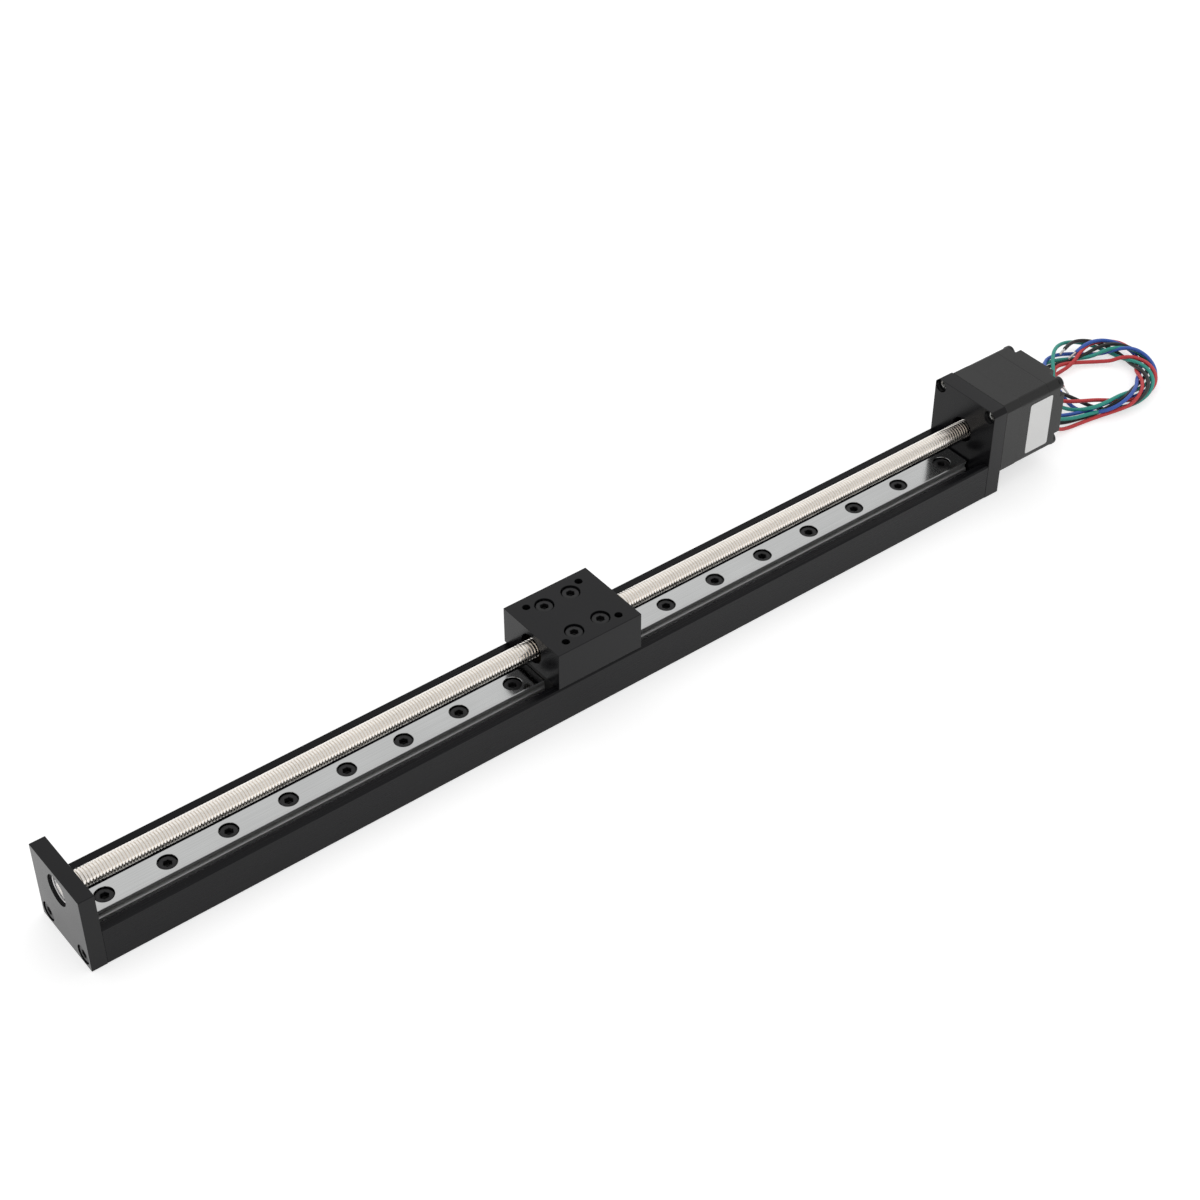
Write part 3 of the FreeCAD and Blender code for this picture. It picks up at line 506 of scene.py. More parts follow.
def black_film(name, roughness, stretch, specular):
    """Black anodised aluminium, with a grain that follows how its surface was made."""
    return finish(name, colours().anodised, 0.2, roughness, 0.0, 2600.0, 0.000003, stretch, specular)


def ground_steel():
    return finish("ground_rail_steel", colours().ground, 0.06, (0.10, 0.18), 1.0, 2200.0, 0.000001, GROUND)


def flank_steel():
    return finish("rail_flank_steel", colours().ground, 0.08, (0.42, 0.55), 0.6, 2200.0, 0.000001, GROUND)


def rolled_steel():
    return finish("rolled_screw_steel", colours().thread, 0.06, (0.18, 0.26), 1.0, 1500.0, 0.000004)


def blackened():
    return finish("blackened_steel", colours().blackened, 0.25, (0.32, 0.46), 0.55, 2200.0, 0.000006)


# Plated steel of the motor bolts, its colour toned down as painted shade for the heads sunk deep in the
# mount's counterbores
def plated_steel_with_painted_shade():
    return finish("bright_plated_steel", (0.45, 0.45, 0.44), 0.06, (0.18, 0.28), 1.0, 1800.0, 0.000004)


def bearing_steel():
    steel = (0.66, 0.65, 0.65)
    polish = (0.05, 1, 1)
    return finish("polished_ring_steel", steel, 0.06, (0.14, 0.24), 1.0, 2000.0, 0.000003, polish)


def rotor_iron():
    lathe = (1, 0.05, 0.05)
    return finish("machined_rotor_iron", (0.30, 0.29, 0.28), 0.14, (0.35, 0.5), 1.0, 1600.0, 0.000008, lathe)


def turned_brass():
    lathe = (1, 0.04, 0.04)
    return finish("turned_brass", (0.62, 0.42, 0.16), 0.1, (0.22, 0.34), 1.0, 1900.0, 0.000006, lathe)


def copper_winding():
    strands = (0.03, 1, 1)
    return finish("copper_winding", (0.55, 0.20, 0.08), 0.2, (0.25, 0.4), 0.9, 2400.0, 0.00003, strands)


def tinned_strand():
    return finish("tinned_strand", (0.62, 0.60, 0.58), 0.08, (0.25, 0.4), 1.0, 2500.0, 0.00002)


def motor_paint():
    paint = colours().motor
    return finish("satin_motor_paint", paint, 0.2, (0.34, 0.46), 0.0, 1300.0, 0.000016, specular=0.42)


def label_paper():
    return finish("label_film", colours().label, 0.03, (0.35, 0.5), 0.0, 2600.0, 0.000006)


def moulded(name, tint, roughness):
    return finish(name, tint, 0.12, roughness, 0.0, 1700.0, 0.000008)


def insulation(name, tint):
    return finish(name, tint, 0.10, (0.34, 0.46), 0.0, 700.0, 0.00001)


# Pieces

CAMERA_PLACE = Vector((-0.3400, -0.4395, 0.5029))
CAMERA_FORWARD = Vector((0.46353, 0.60067, -0.65141))
CAMERA_UP = Vector((0.40013, 0.51404, 0.75873))
LAMP_PLACE = Vector((0.80, 1.05, 1.25))
FLOOR_HALF = 4
FLOOR_DROP = 0.00005
FLOOR_LIFT = 0.6


class BuildStudio(bpy.types.Operator):
    """Adds the pale floor, the soft lamps, the white surround and the camera."""

    bl_idname = "lead_stage.studio"
    bl_label = "Studio"

    def execute(self, context):
        studio = context.scene.stage_studio
        self.add_floor(context, studio)
        self.add_surround(context, studio)
        self.add_lamp(context, studio, "key_lamp", studio.key_gloss)
        soft_lamp = self.add_lamp(context, studio, "soft_lamp", 1 - studio.key_gloss)
        soft_lamp.visible_glossy = False
        self.add_camera(context, studio)
        context.scene.view_settings.view_transform = "Standard"
        return {"FINISHED"}

    def add_camera(self, context, studio):
        lens = bpy.data.cameras.new("photo_camera")
        lens.lens = studio.lens
        lens.sensor_width = 36.0
        lens.clip_start = 0.01
        camera = bpy.data.objects.new("photo_camera", lens)
        forward = CAMERA_FORWARD.normalized()
        right = forward.cross(CAMERA_UP).normalized()
        turn = Matrix((right, right.cross(forward), -forward)).transposed()
        camera.matrix_world = Matrix.LocRotScale(CAMERA_PLACE, turn, None)
        context.scene.collection.objects.link(camera)
        context.scene.camera = camera

    def add_floor(self, context, studio):
        """A matt floor that is lifted to white where it is seen, and keeps the shadows."""
        mesh = bpy.data.meshes.new("floor")
        corners = [(a * FLOOR_HALF, b * FLOOR_HALF, 0) for a, b in ((-1, -1), (1, -1), (1, 1), (-1, 1))]
        mesh.from_pydata(corners, [], [(0, 1, 2, 3)])
        floor = bpy.data.objects.new("floor", mesh)
        floor.location.z = -FLOOR_DROP
        context.scene.collection.objects.link(floor)
        material = bpy.data.materials.new("pale_floor")
        material.use_nodes = True
        tree = material.node_tree
        tree.nodes.clear()
        matt = tree.nodes.new("ShaderNodeBsdfDiffuse")
        matt.inputs["Color"].default_value = (*studio.floor_colour, 1)
        lift = tree.nodes.new("ShaderNodeEmission")
        share = worked_out(tree, "MULTIPLY", seen_rays(tree), FLOOR_LIFT)
        tree.links.new(share, lift.inputs["Strength"])
        total = tree.nodes.new("ShaderNodeAddShader")
        tree.links.new(matt.outputs["BSDF"], total.inputs[0])
        tree.links.new(lift.outputs["Emission"], total.inputs[1])
        out = tree.nodes.new("ShaderNodeOutputMaterial")
        tree.links.new(total.outputs["Shader"], out.inputs["Surface"])
        mesh.materials.append(material)

    def add_surround(self, context, studio):
        world = bpy.data.worlds.new("white_surround")
        world.use_nodes = True
        tree = world.node_tree
        background = tree.nodes["Background"]
        background.inputs["Color"].default_value = (1, 1, 1, 1)
        background.inputs["Strength"].default_value = studio.ambient
        context.scene.world = world

    def add_lamp(self, context, studio, name, share):
        """A large lamp behind the stage with a share of the key light."""
        lamp = bpy.data.lights.new(name, "AREA")
        lamp.size = studio.key_size
        lamp.energy = studio.key_power * share
        item = bpy.data.objects.new(name, lamp)
        item.location = LAMP_PLACE
        item.rotation_mode = "QUATERNION"
        item.rotation_quaternion = (-LAMP_PLACE).to_track_quat("-Z", "Y")
        context.scene.collection.objects.link(item)
        return item


def seen_rays(tree):
    """A socket that is 1 for rays that show a surround: camera, glossy and transmission."""
    ray = tree.nodes.new("ShaderNodeLightPath").outputs
    direct = worked_out(tree, "MAXIMUM", ray["Is Camera Ray"], ray["Is Glossy Ray"])
    return worked_out(tree, "MAXIMUM", direct, ray["Is Transmission Ray"])


# Free leads: each leaves the grommet in a listed run and winds with the others round an oval
LEAD_LENGTHS = {"red": 0.247, "green": 0.243, "black": 0.233, "blue": 0.229}
EXIT_RUNS = {
    "red": [
        *((0, -2.7, 10.15), (4, -2.7, 10), (7.5, -3.1, 6.4), (11, -3.8, 2.4)),
        *((15.5, -4.2, 0.9), (22, -4.8, 0.8), (29, -6.2, 1.2)),
    ],
    "green": [
        *((0, -0.9, 10.15), (5, -0.9, 10), (9.5, -1, 7)),
        *((14.5, -1.4, 3.8), (21, -3.2, 2.5), (28, -5, 2.8)),
    ],
    "black": [
        *((0, 0.9, 10.15), (4, 0.9, 10), (8, 0.7, 6.4), (12, 0.3, 2.6)),
        *((17, -1.2, 0.9), (23.5, -2.8, 0.8), (30, -4.6, 0.9)),
    ],
    "blue": [
        *((0, 2.7, 10.15), (5, 2.7, 10), (10, 2.4, 6.8)),
        *((15, 1.4, 3.4), (21.5, -0.6, 2.3), (28.5, -3, 2.6)),
    ],
}
COIL_CENTRE = Vector((232.5, 9.5, 2.6))
COIL_LONG = 20.2
COIL_SHORT = 16.8
COIL_TURN = 8
COIL_START = -110
COIL_STEP = 9
COIL_HEIGHT = 1.75
BUNDLE_WIDTH = 3.0
# Where the bundle is wider or tighter: angle, spread, change of width
BUNDLE_SWELLS = [(-40, 40, 0.4), (75, 40, 0.9), (-90, 25, -0.4)]
COIL_ENDS = {"red": 380, "green": 468, "black": 440, "blue": 432}
TWIST_STARTS = {"red": 0, "green": 270, "black": 90, "blue": 180}
TWIST_RATE = 2.625
# Where a lead springs away from the bundle: angle, spread, distance outwards, distance upwards
SPRUNG = {
    "red": [(10, 24, 3.0, 0.8), (72, 40, -2.4, -0.6), (400, 34, -5.6, -0.4), (250, 40, 0.6, 1.4)],
    "green": [(80, 46, 1.2, 0.5), (425, 45, -1.8, 0.6), (250, 40, 0.3, 1.0)],
    "black": [(432, 45, 0.6, 0.4), (250, 40, 0.0, 0.6)],
    "blue": [(0, 24, 1.4, 0.8), (100, 30, -1.0, 0.0), (425, 40, 1.2, 0.6), (250, 40, -0.4, 1.0)],
}
# The red lead's end cuts across the coil and bends down behind the motor
RED_TAIL = [
    *((10.8, 5.2, 1.5), (7.4, 8, 1.6), (3.8, 10.9, 1.8), (0.2, 13.4, 1.9), (-3.4, 14.8, 1.9)),
    *((-6.6, 13.8, 1.8), (-8.8, 11.4, 1.7), (-10.4, 8.6, 1.6), (-11.8, 5.8, 1.4)),
]


def lead_points(name):
    """The middle line of one lead: out of the grommet, down to the floor and round the coil."""
    points = [Vector((REAR_HIGH.x + x, y, z)) for x, y, z in EXIT_RUNS[name]]
    points += [coil_point(name, angle) for angle in range(COIL_START, COIL_ENDS[name], COIL_STEP)]
    if name == "red":
        points += [in_coil(Vector((x, y, z - COIL_CENTRE.z))) for x, y, z in RED_TAIL]
    return points


def in_coil(spot):
    """A spot measured along the oval's own axes, in the frame."""
    return COIL_CENTRE + Matrix.Rotation(math.radians(COIL_TURN), 3, "Z") @ spot


def coil_point(name, angle):
    """A lead's place in the coil: it winds about the bundle's middle, which follows an oval."""
    twist = math.radians(TWIST_STARTS[name] + TWIST_RATE * (angle - COIL_START))
    aside = bundle_width(angle) * math.cos(twist)
    rise = COIL_HEIGHT * math.sin(twist)
    for middle, spread, outwards, upwards in SPRUNG[name]:
        aside += outwards * swell(angle, middle, spread)
        rise += upwards * swell(angle, middle, spread)
    turn = math.radians(angle)
    outward = Vector((math.cos(turn) / COIL_LONG, math.sin(turn) / COIL_SHORT, 0)).normalized()
    return in_coil(Vector((COIL_LONG * math.cos(turn), COIL_SHORT * math.sin(turn), rise)) + outward * aside)


def bundle_width(angle):
    """How far the bundle spreads to either side of its middle: widest on the far side."""
    turn = math.degrees(math.remainder(math.radians(angle), math.tau))
    changes = [change * swell(turn, middle, spread) for middle, spread, change in BUNDLE_SWELLS]
    return BUNDLE_WIDTH + sum(changes)


def swell(angle, middle, spread):
    """A smooth hump that is 1 at its middle."""
    return math.exp(-(((angle - middle) / spread) ** 2))


class BuildLeads(bpy.types.Operator):
    """Lays the four free leads from the motor into their coil, with tinned ends."""

    bl_idname = "lead_stage.leads"
    bl_label = "Leads"

    def execute(self, context):
        leads = context.scene.stage_leads
        for name, long in LEAD_LENGTHS.items():
            points = lead_points(name)
            curve = bpy.data.curves.new(f"{name}_lead", "CURVE")
            curve.dimensions = "3D"
            curve.bevel_depth = leads.diameter / 2
            curve.bevel_resolution = 3
            curve.resolution_u = 3
            curve.use_fill_caps = True
            spline = curve.splines.new("NURBS")
            spline.points.add(len(points) - 1)
            for point, spot in zip(spline.points, points):
                point.co = (*(spot * MM), 1)
            spline.order_u = 3
            spline.use_endpoint_u = True
            lead = bpy.data.objects.new(f"{name}_lead", curve)
            context.scene.collection.objects.link(lead)
            nodes = [f"lead_{name}"] + (["lead_coil"] if name == "red" else [])
            sleeve = insulation(f"{name}_insulation", getattr(leads, name))
            place(lead, "frame", nodes, sleeve)
            end = self.tinned_end(name, points, leads)
        return {"FINISHED"}

    def tinned_end(self, name, points, leads):
        """Strands that stand bare of the insulation at a lead's free end, dipped in solder."""
        onward = (points[-1] - points[-2]).normalized()
        radius = leads.diameter / MM * 0.3
        reach = leads.bare_end / MM
        profile = [(-0.6, 0), (-0.6, radius), (reach * 0.5, radius), (reach - 0.3, radius * 0.9), (reach, 0)]
        strand = solid_object(f"{name}_lead_end", turned(profile, points[-1], onward, 16))
        return settle(strand, "frame", [], tinned_strand())


class BuildLeadScrew(bpy.types.Operator):
    """Cuts the running thread on the lead screw, with its journals at both ends."""

    bl_idname = "lead_stage.lead_screw"
    bl_label = "Lead screw"

    def execute(self, context):
        thread = context.scene.stage_thread
        pitch = thread.pitch / MM
        root = SCREW_RADIUS - thread.depth / MM
        steps = thread.segments
        low = PLATE_HIGH.x + 0.1
        high = MOUNT_HIGH.x - 1.1
        count = int((high - low) / pitch) - 1
        # Share of the pitch and radius, across one turn of the thread
        profile = [(0.0, root), (0.12, root), (0.3, SCREW_RADIUS), (0.82, SCREW_RADIUS)]
        wide = len(profile)
        last = count * steps
        points = []
        for k in range(last + 1):
            for share, radius in profile:
                x = low + 0.1 + pitch * (k / steps + share)
                points.append(self.around(x, radius, k / steps))

        def at(k, j):
            """Number of corner j of the profile at step k; the one past the last begins the next turn."""
            return (k + steps) * wide if j == wide else k * wide + j

        faces = []
        for k in range(last):
            for j in range(wide):
                if j == wide - 1 and k + 1 + steps > last:
                    continue
                faces.append((at(k, j), at(k, j + 1), at(k + 1, j + 1), at(k + 1, j)))

        # The journals at both ends
        tip = JOURNAL_RADIUS - 0.3
        start = [(PLATE_LOW.x + BEARING_SINK, tip), (PLATE_LOW.x + BEARING_SINK + 0.3, JOURNAL_RADIUS)]
        start += [(low - 0.1, JOURNAL_RADIUS), (low, root)]
        shaft = [(high, root), (high, SHAFT_RADIUS), (REAR_LOW.x, SHAFT_RADIUS), (REAR_LOW.x, JOURNAL_RADIUS)]
        shaft += [(REAR_HIGH.x - 1.3, JOURNAL_RADIUS), (REAR_HIGH.x - 1.0, tip)]
        first_rings = self.rings(points, start, steps)
        faces.append(tuple(first_rings[0]))
        last_rings = self.rings(points, shaft, steps)
        faces.append(tuple(reversed(last_rings[-1])))
        for group in (first_rings, last_rings):
            for near, far in zip(group, group[1:]):
                for i in range(steps):
                    j = (i + 1) % steps
                    faces.append((near[i], far[i], far[j], near[j]))

        # The faces that join the thread's first and last turn to the journals
        front = first_rings[-1]
        for i in range(steps):
            faces.append((front[i], at(i, 0), at(i + 1, 0), front[(i + 1) % steps]))
        faces.append((front[0], *[at(0, wide - j) for j in range(wide + 1)]))
        back = last_rings[0]
        edge = [at(last - steps + i, wide - 1) for i in range(steps + 1)]
        for i in range(steps):
            faces.append((edge[i], back[i], back[(i + 1) % steps], edge[i + 1]))
        faces.append((edge[0], at(last, 0), at(last, 1), at(last, 2), edge[-1], back[0]))
        screw = solid_object("threaded_screw", (points, faces))
        settle(screw, "screw", ["lead_screw"], rolled_steel())
        return {"FINISHED"}

    def around(self, x, radius, turn):
        angle = math.tau * turn
        return Vector((x, radius * math.cos(angle), AXIS_Z + radius * math.sin(angle)))

    def rings(self, points, profile, steps):
        """Adds one ring of points for each (x, radius) and returns their numbers."""
        made = []
        for x, radius in profile:
            made.append([len(points) + i for i in range(steps)])
            points += [self.around(x, radius, i / steps) for i in range(steps)]
        return made


class BuildRail(bpy.types.Operator):
    """Makes the ground rail with its ball grooves and its row of counterbored holes."""

    bl_idname = "lead_stage.rail"
    bl_label = "Rail"

    def execute(self, context):
        top = RAIL_HIGH.z
        half = RAIL_HIGH.y
        groove = top - 2.2
        groove_half = 1.0
        groove_depth = 0.6
        groove_radius = 1.133
        chamfer = 0.15
        arc = 4
        side = [(half, RAIL_LOW.z)]
        for step in range(-arc, arc + 1):
            angle = step / arc * math.asin(groove_half / groove_radius)
            y = half - groove_depth + groove_radius * (1 - math.cos(angle))
            side.append((y, groove + groove_radius * math.sin(angle)))
        side += [(half, top - chamfer), (half - chamfer, top)]
        bar = prism(mirrored(side), cut_ends(RAIL_LOW.x, RAIL_HIGH.x, 0.2))
        edge = context.scene.stage_edges.hole / MM
        steps = [(RAIL_SINK, 3.0), (8.0, 1.75)]
        holes = [hole((x, 0, top), DOWN, steps, edge) for x in rail_hole_places()]
        rail = carved("drilled_rail", bar, holes)
        settle(rail, "frame", ["linear_rail"], ground_steel())
        inner = half - groove_depth - 0.1
        finish_faces(rail, flank_steel(), lambda at, facing: abs(at.y) > inner and at.z < top - 0.2)
        return {"FINISHED"}


class BuildChannel(bpy.types.Operator):
    """Makes the black channel with its rail seat and the tapped holes underneath."""

    bl_idname = "lead_stage.channel"
    bl_label = "Channel"

    def execute(self, context):
        top = BASE_HIGH.z
        half = BASE_HIGH.y
        inner = half - 3
        floor = 5.6
        seat = 4.0
        seat_half = 4.6
        side = [(half - 0.3, 0), (half, 0.3), (half, top - 0.5), (half - 0.5, top), (inner + 0.15, top)]
        side += [(inner, top - 0.15), (inner, floor + 0.4), (inner - 0.4, floor)]
        side += [(seat_half, floor), (seat_half, seat)]
        bar = prism(mirrored(side), cut_ends(BASE_LOW.x, BASE_HIGH.x, 0.15))
        edge = context.scene.stage_edges.hole / MM
        middle = (BASE_LOW.x + BASE_HIGH.x) / 2
        foot_x = 140
        foot_y = 8
        foot_steps = [(4.0, TAP_RADIUS)]
        feet = [hole((middle + a * foot_x, b * foot_y, 0), UP, foot_steps, edge) for a, b in CORNERS]
        channel = carved("anodised_channel", bar, feet)
        settle(channel, "frame", ["base_channel"], extruded())
        finish_faces(channel, wall_top(), lambda at, facing: at.z > top - 0.1 and facing.z > 0.9)
        return {"FINISHED"}


class BuildEndPieces(bpy.types.Operator):
    """Makes the end plate and the motor mount with their round counterbores."""

    bl_idname = "lead_stage.end_pieces"
    bl_label = "End plate and mount"

    def execute(self, context):
        edges = context.scene.stage_edges
        reach = edges.machined / MM
        edge = edges.hole / MM
        screw_steps = [(END_SINK, HEAD_ROOM), (THROUGH, SHANK_ROOM)]
        outline = eased(rectangle(PLATE_LOW, PLATE_HIGH), reach)
        slab = prism(outline, eased_ends(PLATE_LOW.x, PLATE_HIGH.x, reach))
        sinks = [hole(spot, EAST, screw_steps, edge) for spot in end_screw_places(PLATE_LOW.x)]
        sinks.append(hole((PLATE_LOW.x, 0, AXIS_Z), EAST, [(THROUGH, BEARING_RADIUS)], edge))
        plate = carved("bored_end_plate", slab, sinks)
        settle(plate, "frame", ["end_plate"], anodised())
        half = MOUNT_HIGH.y
        cut = half - 1.5
        top = MOUNT_HIGH.z
        corners = [(-half, 0), (half, 0), (half, AXIS_Z + cut), (cut, top)]
        corners += [(-cut, top), (-half, AXIS_Z + cut)]
        outline = eased([Vector(p) for p in corners], reach)
        slab = prism(outline, eased_ends(MOUNT_LOW.x, MOUNT_HIGH.x, reach))
        sinks = [hole(spot, WEST, screw_steps, edge) for spot in end_screw_places(MOUNT_HIGH.x)]
        shaft_steps = [(THROUGH, 4.5)]
        sinks.append(hole((MOUNT_LOW.x, 0, AXIS_Z), EAST, shaft_steps, edge))
        pilot_steps = [(2.0, 11.0)]
        pilot = [hole((MOUNT_HIGH.x, 0, AXIS_Z), WEST, pilot_steps, edge)]
        bolt_steps = [(MOTOR_SINK, 2.35), (THROUGH, TIE_ROOM)]
        bolts = [hole(spot, EAST, bolt_steps, edge) for spot in motor_bolt_places(MOUNT_LOW.x)]
        mount = carved("bored_motor_mount", slab, sinks, pilot, bolts)
        settle(mount, "frame", ["motor_mount"], anodised())
        return {"FINISHED"}


class BuildEndBearing(bpy.types.Operator):
    """Turns the end plate's shielded bearing: two rings with dished shields between them."""

    bl_idname = "lead_stage.end_bearing"
    bl_label = "End bearing"

    def execute(self, context):
        front = PLATE_LOW.x + BEARING_SINK
        wide = PLATE_HIGH.x - front
        outer = [(0, 4.3), (0, 4.8), (0.2, 4.98), (wide - 0.2, 4.98), (wide, 4.8), (wide, 4.3)]
        outer += [(wide - 0.1, 4.19), (0.1, 4.19)]
        inner = [(0, 2.15), (0, 2.7), (0.1, 2.81), (wide - 0.1, 2.81), (wide, 2.7), (wide, 2.15)]
        inner += [(wide - 0.14, 2.01), (0.14, 2.01)]
        dish = [(0.32, 2.9), (0.12, 3.05), (0.12, 3.9), (0.22, 4.19)]
        dish += [(0.4, 4.19), (0.3, 3.9), (0.3, 3.1), (0.42, 2.9)]
        shields = [self.ring(dish, front, EAST), self.ring(dish, PLATE_HIGH.x, WEST)]
        steel = bearing_steel()
        race = solid_object("end_bearing_race", self.ring(outer, front, EAST))
        settle(race, "frame", ["end_bearing_outer"], steel)
        cover = solid_object("end_bearing_dishes", joined(shields))
        settle(cover, "frame", ["end_bearing_shields"], steel)
        core = solid_object("end_bearing_core", self.ring(inner, front, EAST))
        settle(core, "screw", ["end_bearing_inner"], steel)
        return {"FINISHED"}

    def ring(self, profile, x, direction):
        return turned(profile, (x, 0, AXIS_Z), direction, 48, hollow=True)


class BuildCarriage(bpy.types.Operator):
    """Makes the carriage block with its sunk screw places, load holes and nut bore."""

    bl_idname = "lead_stage.carriage"
    bl_label = "Carriage"

    def execute(self, context):
        edges = context.scene.stage_edges
        reach = edges.machined / MM
        edge = edges.hole / MM
        outline = eased(rectangle(BLOCK_LOW, BLOCK_HIGH), reach)
        slab = prism(outline, eased_ends(BLOCK_LOW.x, BLOCK_HIGH.x, reach))
        top = BLOCK_HIGH.z
        deep = top - BLOCK_LOW.z + 1
        screw_steps = [(BLOCK_SINK, HEAD_ROOM), (deep, SHANK_ROOM)]
        load_steps = [(6.0, TAP_RADIUS)]
        grub_steps = [(11.5, 1.5)]
        nut_steps = [(40, 5.0)]
        sinks = [hole(spot, DOWN, screw_steps, edge) for spot in slider_screw_places(top)]
        sinks += [hole(spot, DOWN, load_steps, edge) for spot in load_hole_places(top)]
        sinks.append(hole((BLOCK_MIDDLE, BLOCK_HIGH.y, AXIS_Z), NEARWARD, grub_steps, edge))
        nut_bore = [hole((BLOCK_LOW.x, 0, AXIS_Z), EAST, nut_steps, edge)]
        block = carved("drilled_carriage", slab, sinks, nut_bore)
        settle(block, "carriage", ["carriage_block"], anodised())
        return {"FINISHED"}


SHEET = 0.5
SHEET_GAP = 0.05
SHEET_EDGE = 0.015
STACK_EASE = 0.6
NOTCH_EASE = 0.6
STATOR_BORE = 7.25
POLES = 8


class BuildMotorCase(bpy.types.Operator):
    """Makes the motor's laminated stack, its rear cap and the blank label on its side."""

    bl_idname = "lead_stage.motor_case"
    bl_label = "Motor case"

    def execute(self, context):
        self.build_stack()
        self.build_rear_cap(context.scene.stage_edges.cast / MM)
        settle(solid_object("motor_label", self.label_film()), "frame", [], label_paper())
        return {"FINISHED"}

    def build_stack(self):
        stations = []
        x = STACK_LOW.x
        while x < STACK_HIGH.x - 0.01:
            stations += [(x, SHEET_EDGE), (x + SHEET_GAP, 0), (x + SHEET - SHEET_GAP, 0)]
            x += SHEET
        stations.append((STACK_HIGH.x, SHEET_EDGE))
        stack = prism(eased(motor_outline(), STACK_EASE), stations)
        past = STACK_HIGH.x - STACK_LOW.x + 1
        bore = [turned([(-1, STATOR_BORE), (past, STATOR_BORE)], (STACK_LOW.x, 0, AXIS_Z), EAST, 48)]
        slots = [self.slot_cutter(turn) for turn in turns(POLES)]
        tie = [(-1, TIE_ROOM), (past, TIE_ROOM)]
        ties = [turned(tie, spot, EAST, 16) for spot in motor_bolt_places(STACK_LOW.x)]
        stator = carved("laminated_stack", stack, bore, slots, ties)
        settle(stator, "frame", ["motor_stator"], motor_paint())

    def build_rear_cap(self, reach):
        cap = prism(eased(motor_outline(), reach), eased_ends(REAR_LOW.x, REAR_HIGH.x, reach))
        x_notch = REAR_HIGH.x - NOTCH_DEPTH
        notches = [self.notch_cutter(a, b, x_notch) for a, b in CORNERS]
        sinks = [hole(spot, WEST, [(9, TIE_ROOM)], 0.1) for spot in motor_bolt_places(x_notch)]
        hollow = [(-1, 11.3), (2, 11.3), (2, 5), (6.5, 5), (6.5, 3.3), (7.7, 3.3)]
        inside = [turned(hollow, (REAR_LOW.x, 0, AXIS_Z), EAST)]
        exit_corners = ((-4, 8.65), (4, 8.65), (4, 11.65), (-4, 11.65))
        window = [prism([Vector(p) for p in exit_corners], [(REAR_LOW.x + 2, 0), (REAR_HIGH.x + 1, 0)])]
        rear = carved("cast_rear_cap", cap, notches, sinks, inside, window)
        settle(rear, "frame", ["motor_rear_cap"], motor_paint())

    def notch_cutter(self, a, b, x):
        """One corner notch of the rear cap, for the head of a case screw."""
        past = MOTOR_HALF + 1.05
        ys = sorted((a * NOTCH_WALL, a * past))
        zs = sorted((b * NOTCH_WALL, b * past))
        low = Vector((x, ys[0], AXIS_Z + zs[0]))
        high = Vector((x, ys[1], AXIS_Z + zs[1]))
        return prism(eased(rectangle(low, high), NOTCH_EASE), [(x, 0), (REAR_HIGH.x + 1, 0)])

    def label_film(self):
        """A blank film with rounded corners on the near side of the case."""
        thick = 0.1
        west, low = 171.0, 10.6
        east, high = 181.5, 30.8
        corners = ((west, low), (east, low), (east, high), (west, high))
        points, faces = prism(eased([Vector(p) for p in corners], 0.9), [(0, 0), (thick, 0)])
        return [Vector((p.y, REAR_LOW.y + thick - p.x, p.z)) for p in points], faces

    def slot_cutter(self, turn):
        """One winding slot of the stack, between two poles."""
        half_step = math.pi / POLES
        mouth = 0.6
        neck = 1.2
        wall = [(STATOR_BORE - 0.6, -mouth), (8.45, -mouth)]
        for radius in (9.05, 11.3):
            along = math.sqrt(radius**2 - neck**2)
            outward = along * math.cos(half_step) + neck * math.sin(half_step)
            aside = along * math.sin(half_step) - neck * math.cos(half_step)
            wall.append((outward, -aside))
        corners = wall + [(a, -b) for a, b in reversed(wall)]
        spin = Matrix.Rotation(turn, 2)
        outline = [spin @ Vector(p) + Vector((0, AXIS_Z)) for p in corners]
        return prism(outline, [(STACK_LOW.x - 1, 0), (STACK_HIGH.x + 1, 0)])


class BuildScrews(bpy.types.Operator):
    """Makes every group of socket screws with rounded heads and hexagon sockets."""

    bl_idname = "lead_stage.socket_screws"
    bl_label = "Socket screws"

    def execute(self, context):
        # Radius and height of the head, and radius of the shank
        three = (2.75, 3.0, 1.48)
        small = (2.25, 2.5, 1.23)
        low_head = (2.25, 1.8, 1.23)
        rail = [(x, 0, RAIL_HIGH.z - RAIL_SINK) for x in rail_hole_places()]
        self.black_group("rail_screw_row", screws(rail, UP, three, 6.0), "frame", "rail_screws")
        plate = end_screw_places(PLATE_LOW.x + END_SINK)
        self.black_group("end_plate_screw_pair", screws(plate, WEST, three, 8.0), "frame", "end_plate_screws")
        mount = end_screw_places(MOUNT_HIGH.x - END_SINK)
        self.black_group("mount_screw_pair", screws(mount, EAST, three, 8.0), "frame", "mount_screws")
        block = slider_screw_places(BLOCK_HIGH.z - BLOCK_SINK)
        self.black_group("carriage_screw_set", screws(block, UP, three, 12.0), "carriage", "carriage_screws")
        # The motor bolts take the plated steel whose colour is darkened as painted shade for their deep
        # counterbores
        motor = motor_bolt_places(MOUNT_LOW.x + MOTOR_SINK)
        bright = solid_object("motor_screw_set", screws(motor, WEST, small, 6.0))
        settle(bright, "frame", ["motor_screws"], plated_steel_with_painted_shade())
        case = motor_bolt_places(REAR_HIGH.x - NOTCH_DEPTH)
        self.black_group("case_screw_set", screws(case, EAST, low_head, 21.0), "frame", "motor_case_screws")
        return {"FINISHED"}

    def black_group(self, name, solid, body, node):
        settle(solid_object(name, solid), body, [node], blackened())


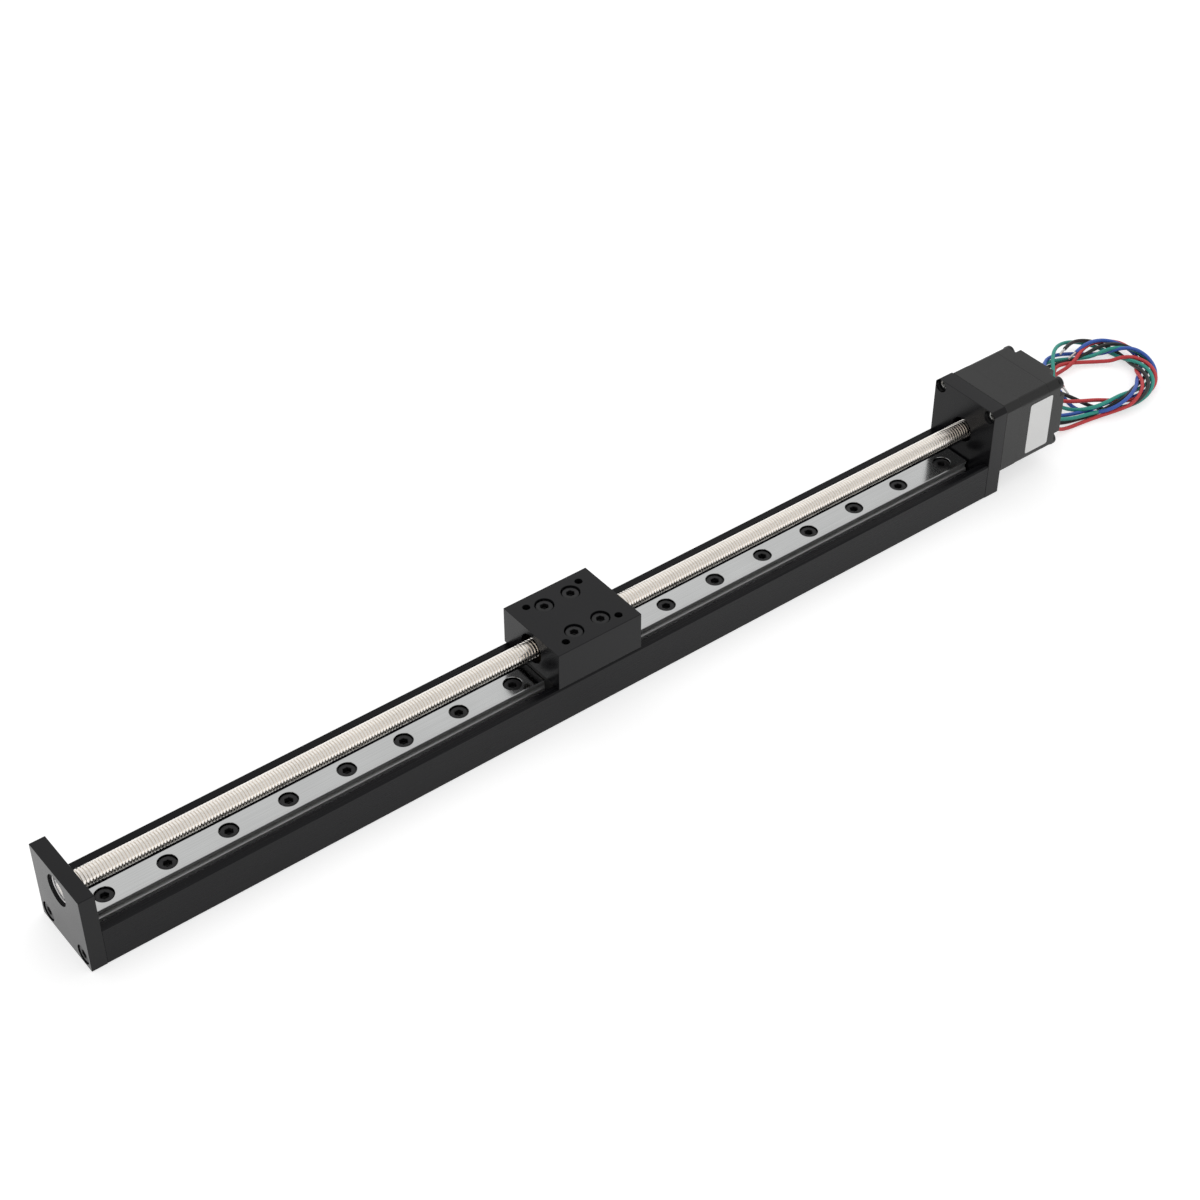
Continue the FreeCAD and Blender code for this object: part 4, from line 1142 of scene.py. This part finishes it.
class FinishNodes(bpy.types.Operator):
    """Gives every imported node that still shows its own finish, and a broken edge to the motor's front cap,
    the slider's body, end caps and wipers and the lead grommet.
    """

    bl_idname = "lead_stage.packed_nodes"
    bl_label = "Packed nodes"

    def execute(self, context):
        groups = {
            bearing_steel(): [
                "front_bearing_outer",
                "front_bearing_inner",
                "rear_bearing_outer",
                "rear_bearing_inner",
                "slider_balls",
                "preload_washer",
            ],
            rotor_iron(): ["rotor_cups", "rotor_magnet"],
            turned_brass(): ["lead_nut"],
            copper_winding(): ["motor_windings"],
            moulded("slider_plastic", (0.016, 0.016, 0.017), (0.4, 0.5)): ["slider_end_caps"],
            moulded("wiper_rubber", (0.014, 0.014, 0.014), (0.55, 0.7)): ["slider_wipers", "lead_grommet"],
            ground_steel(): ["slider_body"],
            blackened(): ["nut_grub_screw"],
            motor_paint(): ["motor_front_cap"],
        }
        for material, names in groups.items():
            for name in names:
                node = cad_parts[name]
                node.data.materials.clear()
                node.data.materials.append(material)
        for name in ("motor_front_cap", "slider_body", "slider_end_caps", "slider_wipers", "lead_grommet"):
            self.break_edges(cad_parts[name])
        shown = {name: node for name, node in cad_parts.items() if not node.hide_render}
        bare = [name for name, node in shown.items() if node.data.materials[0] not in groups]
        if bare:
            raise RuntimeError(f"packed nodes without a finish: {bare}")
        return {"FINISHED"}

    def break_edges(self, node):
        weld = node.modifiers.new("weld", "WELD")
        weld.merge_threshold = 0.000001
        bevel = node.modifiers.new("broken_edge", "BEVEL")
        bevel.width = 0.0002
        bevel.segments = 2
        bevel.limit_method = "ANGLE"
        bevel.angle_limit = math.radians(40)


PIECES = (
    BuildStudio,
    BuildLeads,
    BuildLeadScrew,
    BuildRail,
    BuildChannel,
    BuildEndPieces,
    BuildEndBearing,
    BuildCarriage,
    BuildMotorCase,
    BuildScrews,
    FinishNodes,
)


class StagePanel(bpy.types.Panel):
    """Lists the pieces of the stage and the sizes and colours that shape them."""

    bl_idname = "VIEW3D_PT_lead_stage"
    bl_label = "Lead screw stage"
    bl_space_type = "VIEW_3D"
    bl_region_type = "UI"
    bl_category = "Lead screw stage"

    def draw(self, context):
        for piece in PIECES:
            self.layout.operator(piece.bl_idname)
        for group in SETTINGS:
            settings = getattr(context.scene, group)
            for field in settings.bl_rna.properties:
                if field.identifier not in ("rna_type", "name"):
                    self.layout.prop(settings, field.identifier)


SETTINGS = {
    "stage_studio": StudioSettings,
    "stage_leads": LeadSettings,
    "stage_thread": ThreadSettings,
    "stage_edges": EdgeSettings,
    "stage_finishes": FinishSettings,
}
CLASSES = (*SETTINGS.values(), *PIECES, StagePanel)


def register():
    for item in CLASSES:
        bpy.utils.register_class(item)
    for name, group in SETTINGS.items():
        setattr(bpy.types.Scene, name, PointerProperty(type=group))


def unregister():
    for name in SETTINGS:
        delattr(bpy.types.Scene, name)
    for item in reversed(CLASSES):
        bpy.utils.unregister_class(item)


def main():
    register()
    bpy.ops.lead_stage.studio()
    bpy.ops.lead_stage.leads()
    bpy.ops.lead_stage.lead_screw()
    bpy.ops.lead_stage.rail()
    bpy.ops.lead_stage.channel()
    bpy.ops.lead_stage.end_pieces()
    bpy.ops.lead_stage.end_bearing()
    bpy.ops.lead_stage.carriage()
    bpy.ops.lead_stage.motor_case()
    bpy.ops.lead_stage.socket_screws()
    bpy.ops.lead_stage.packed_nodes()


if __name__ == "__main__":
    main()
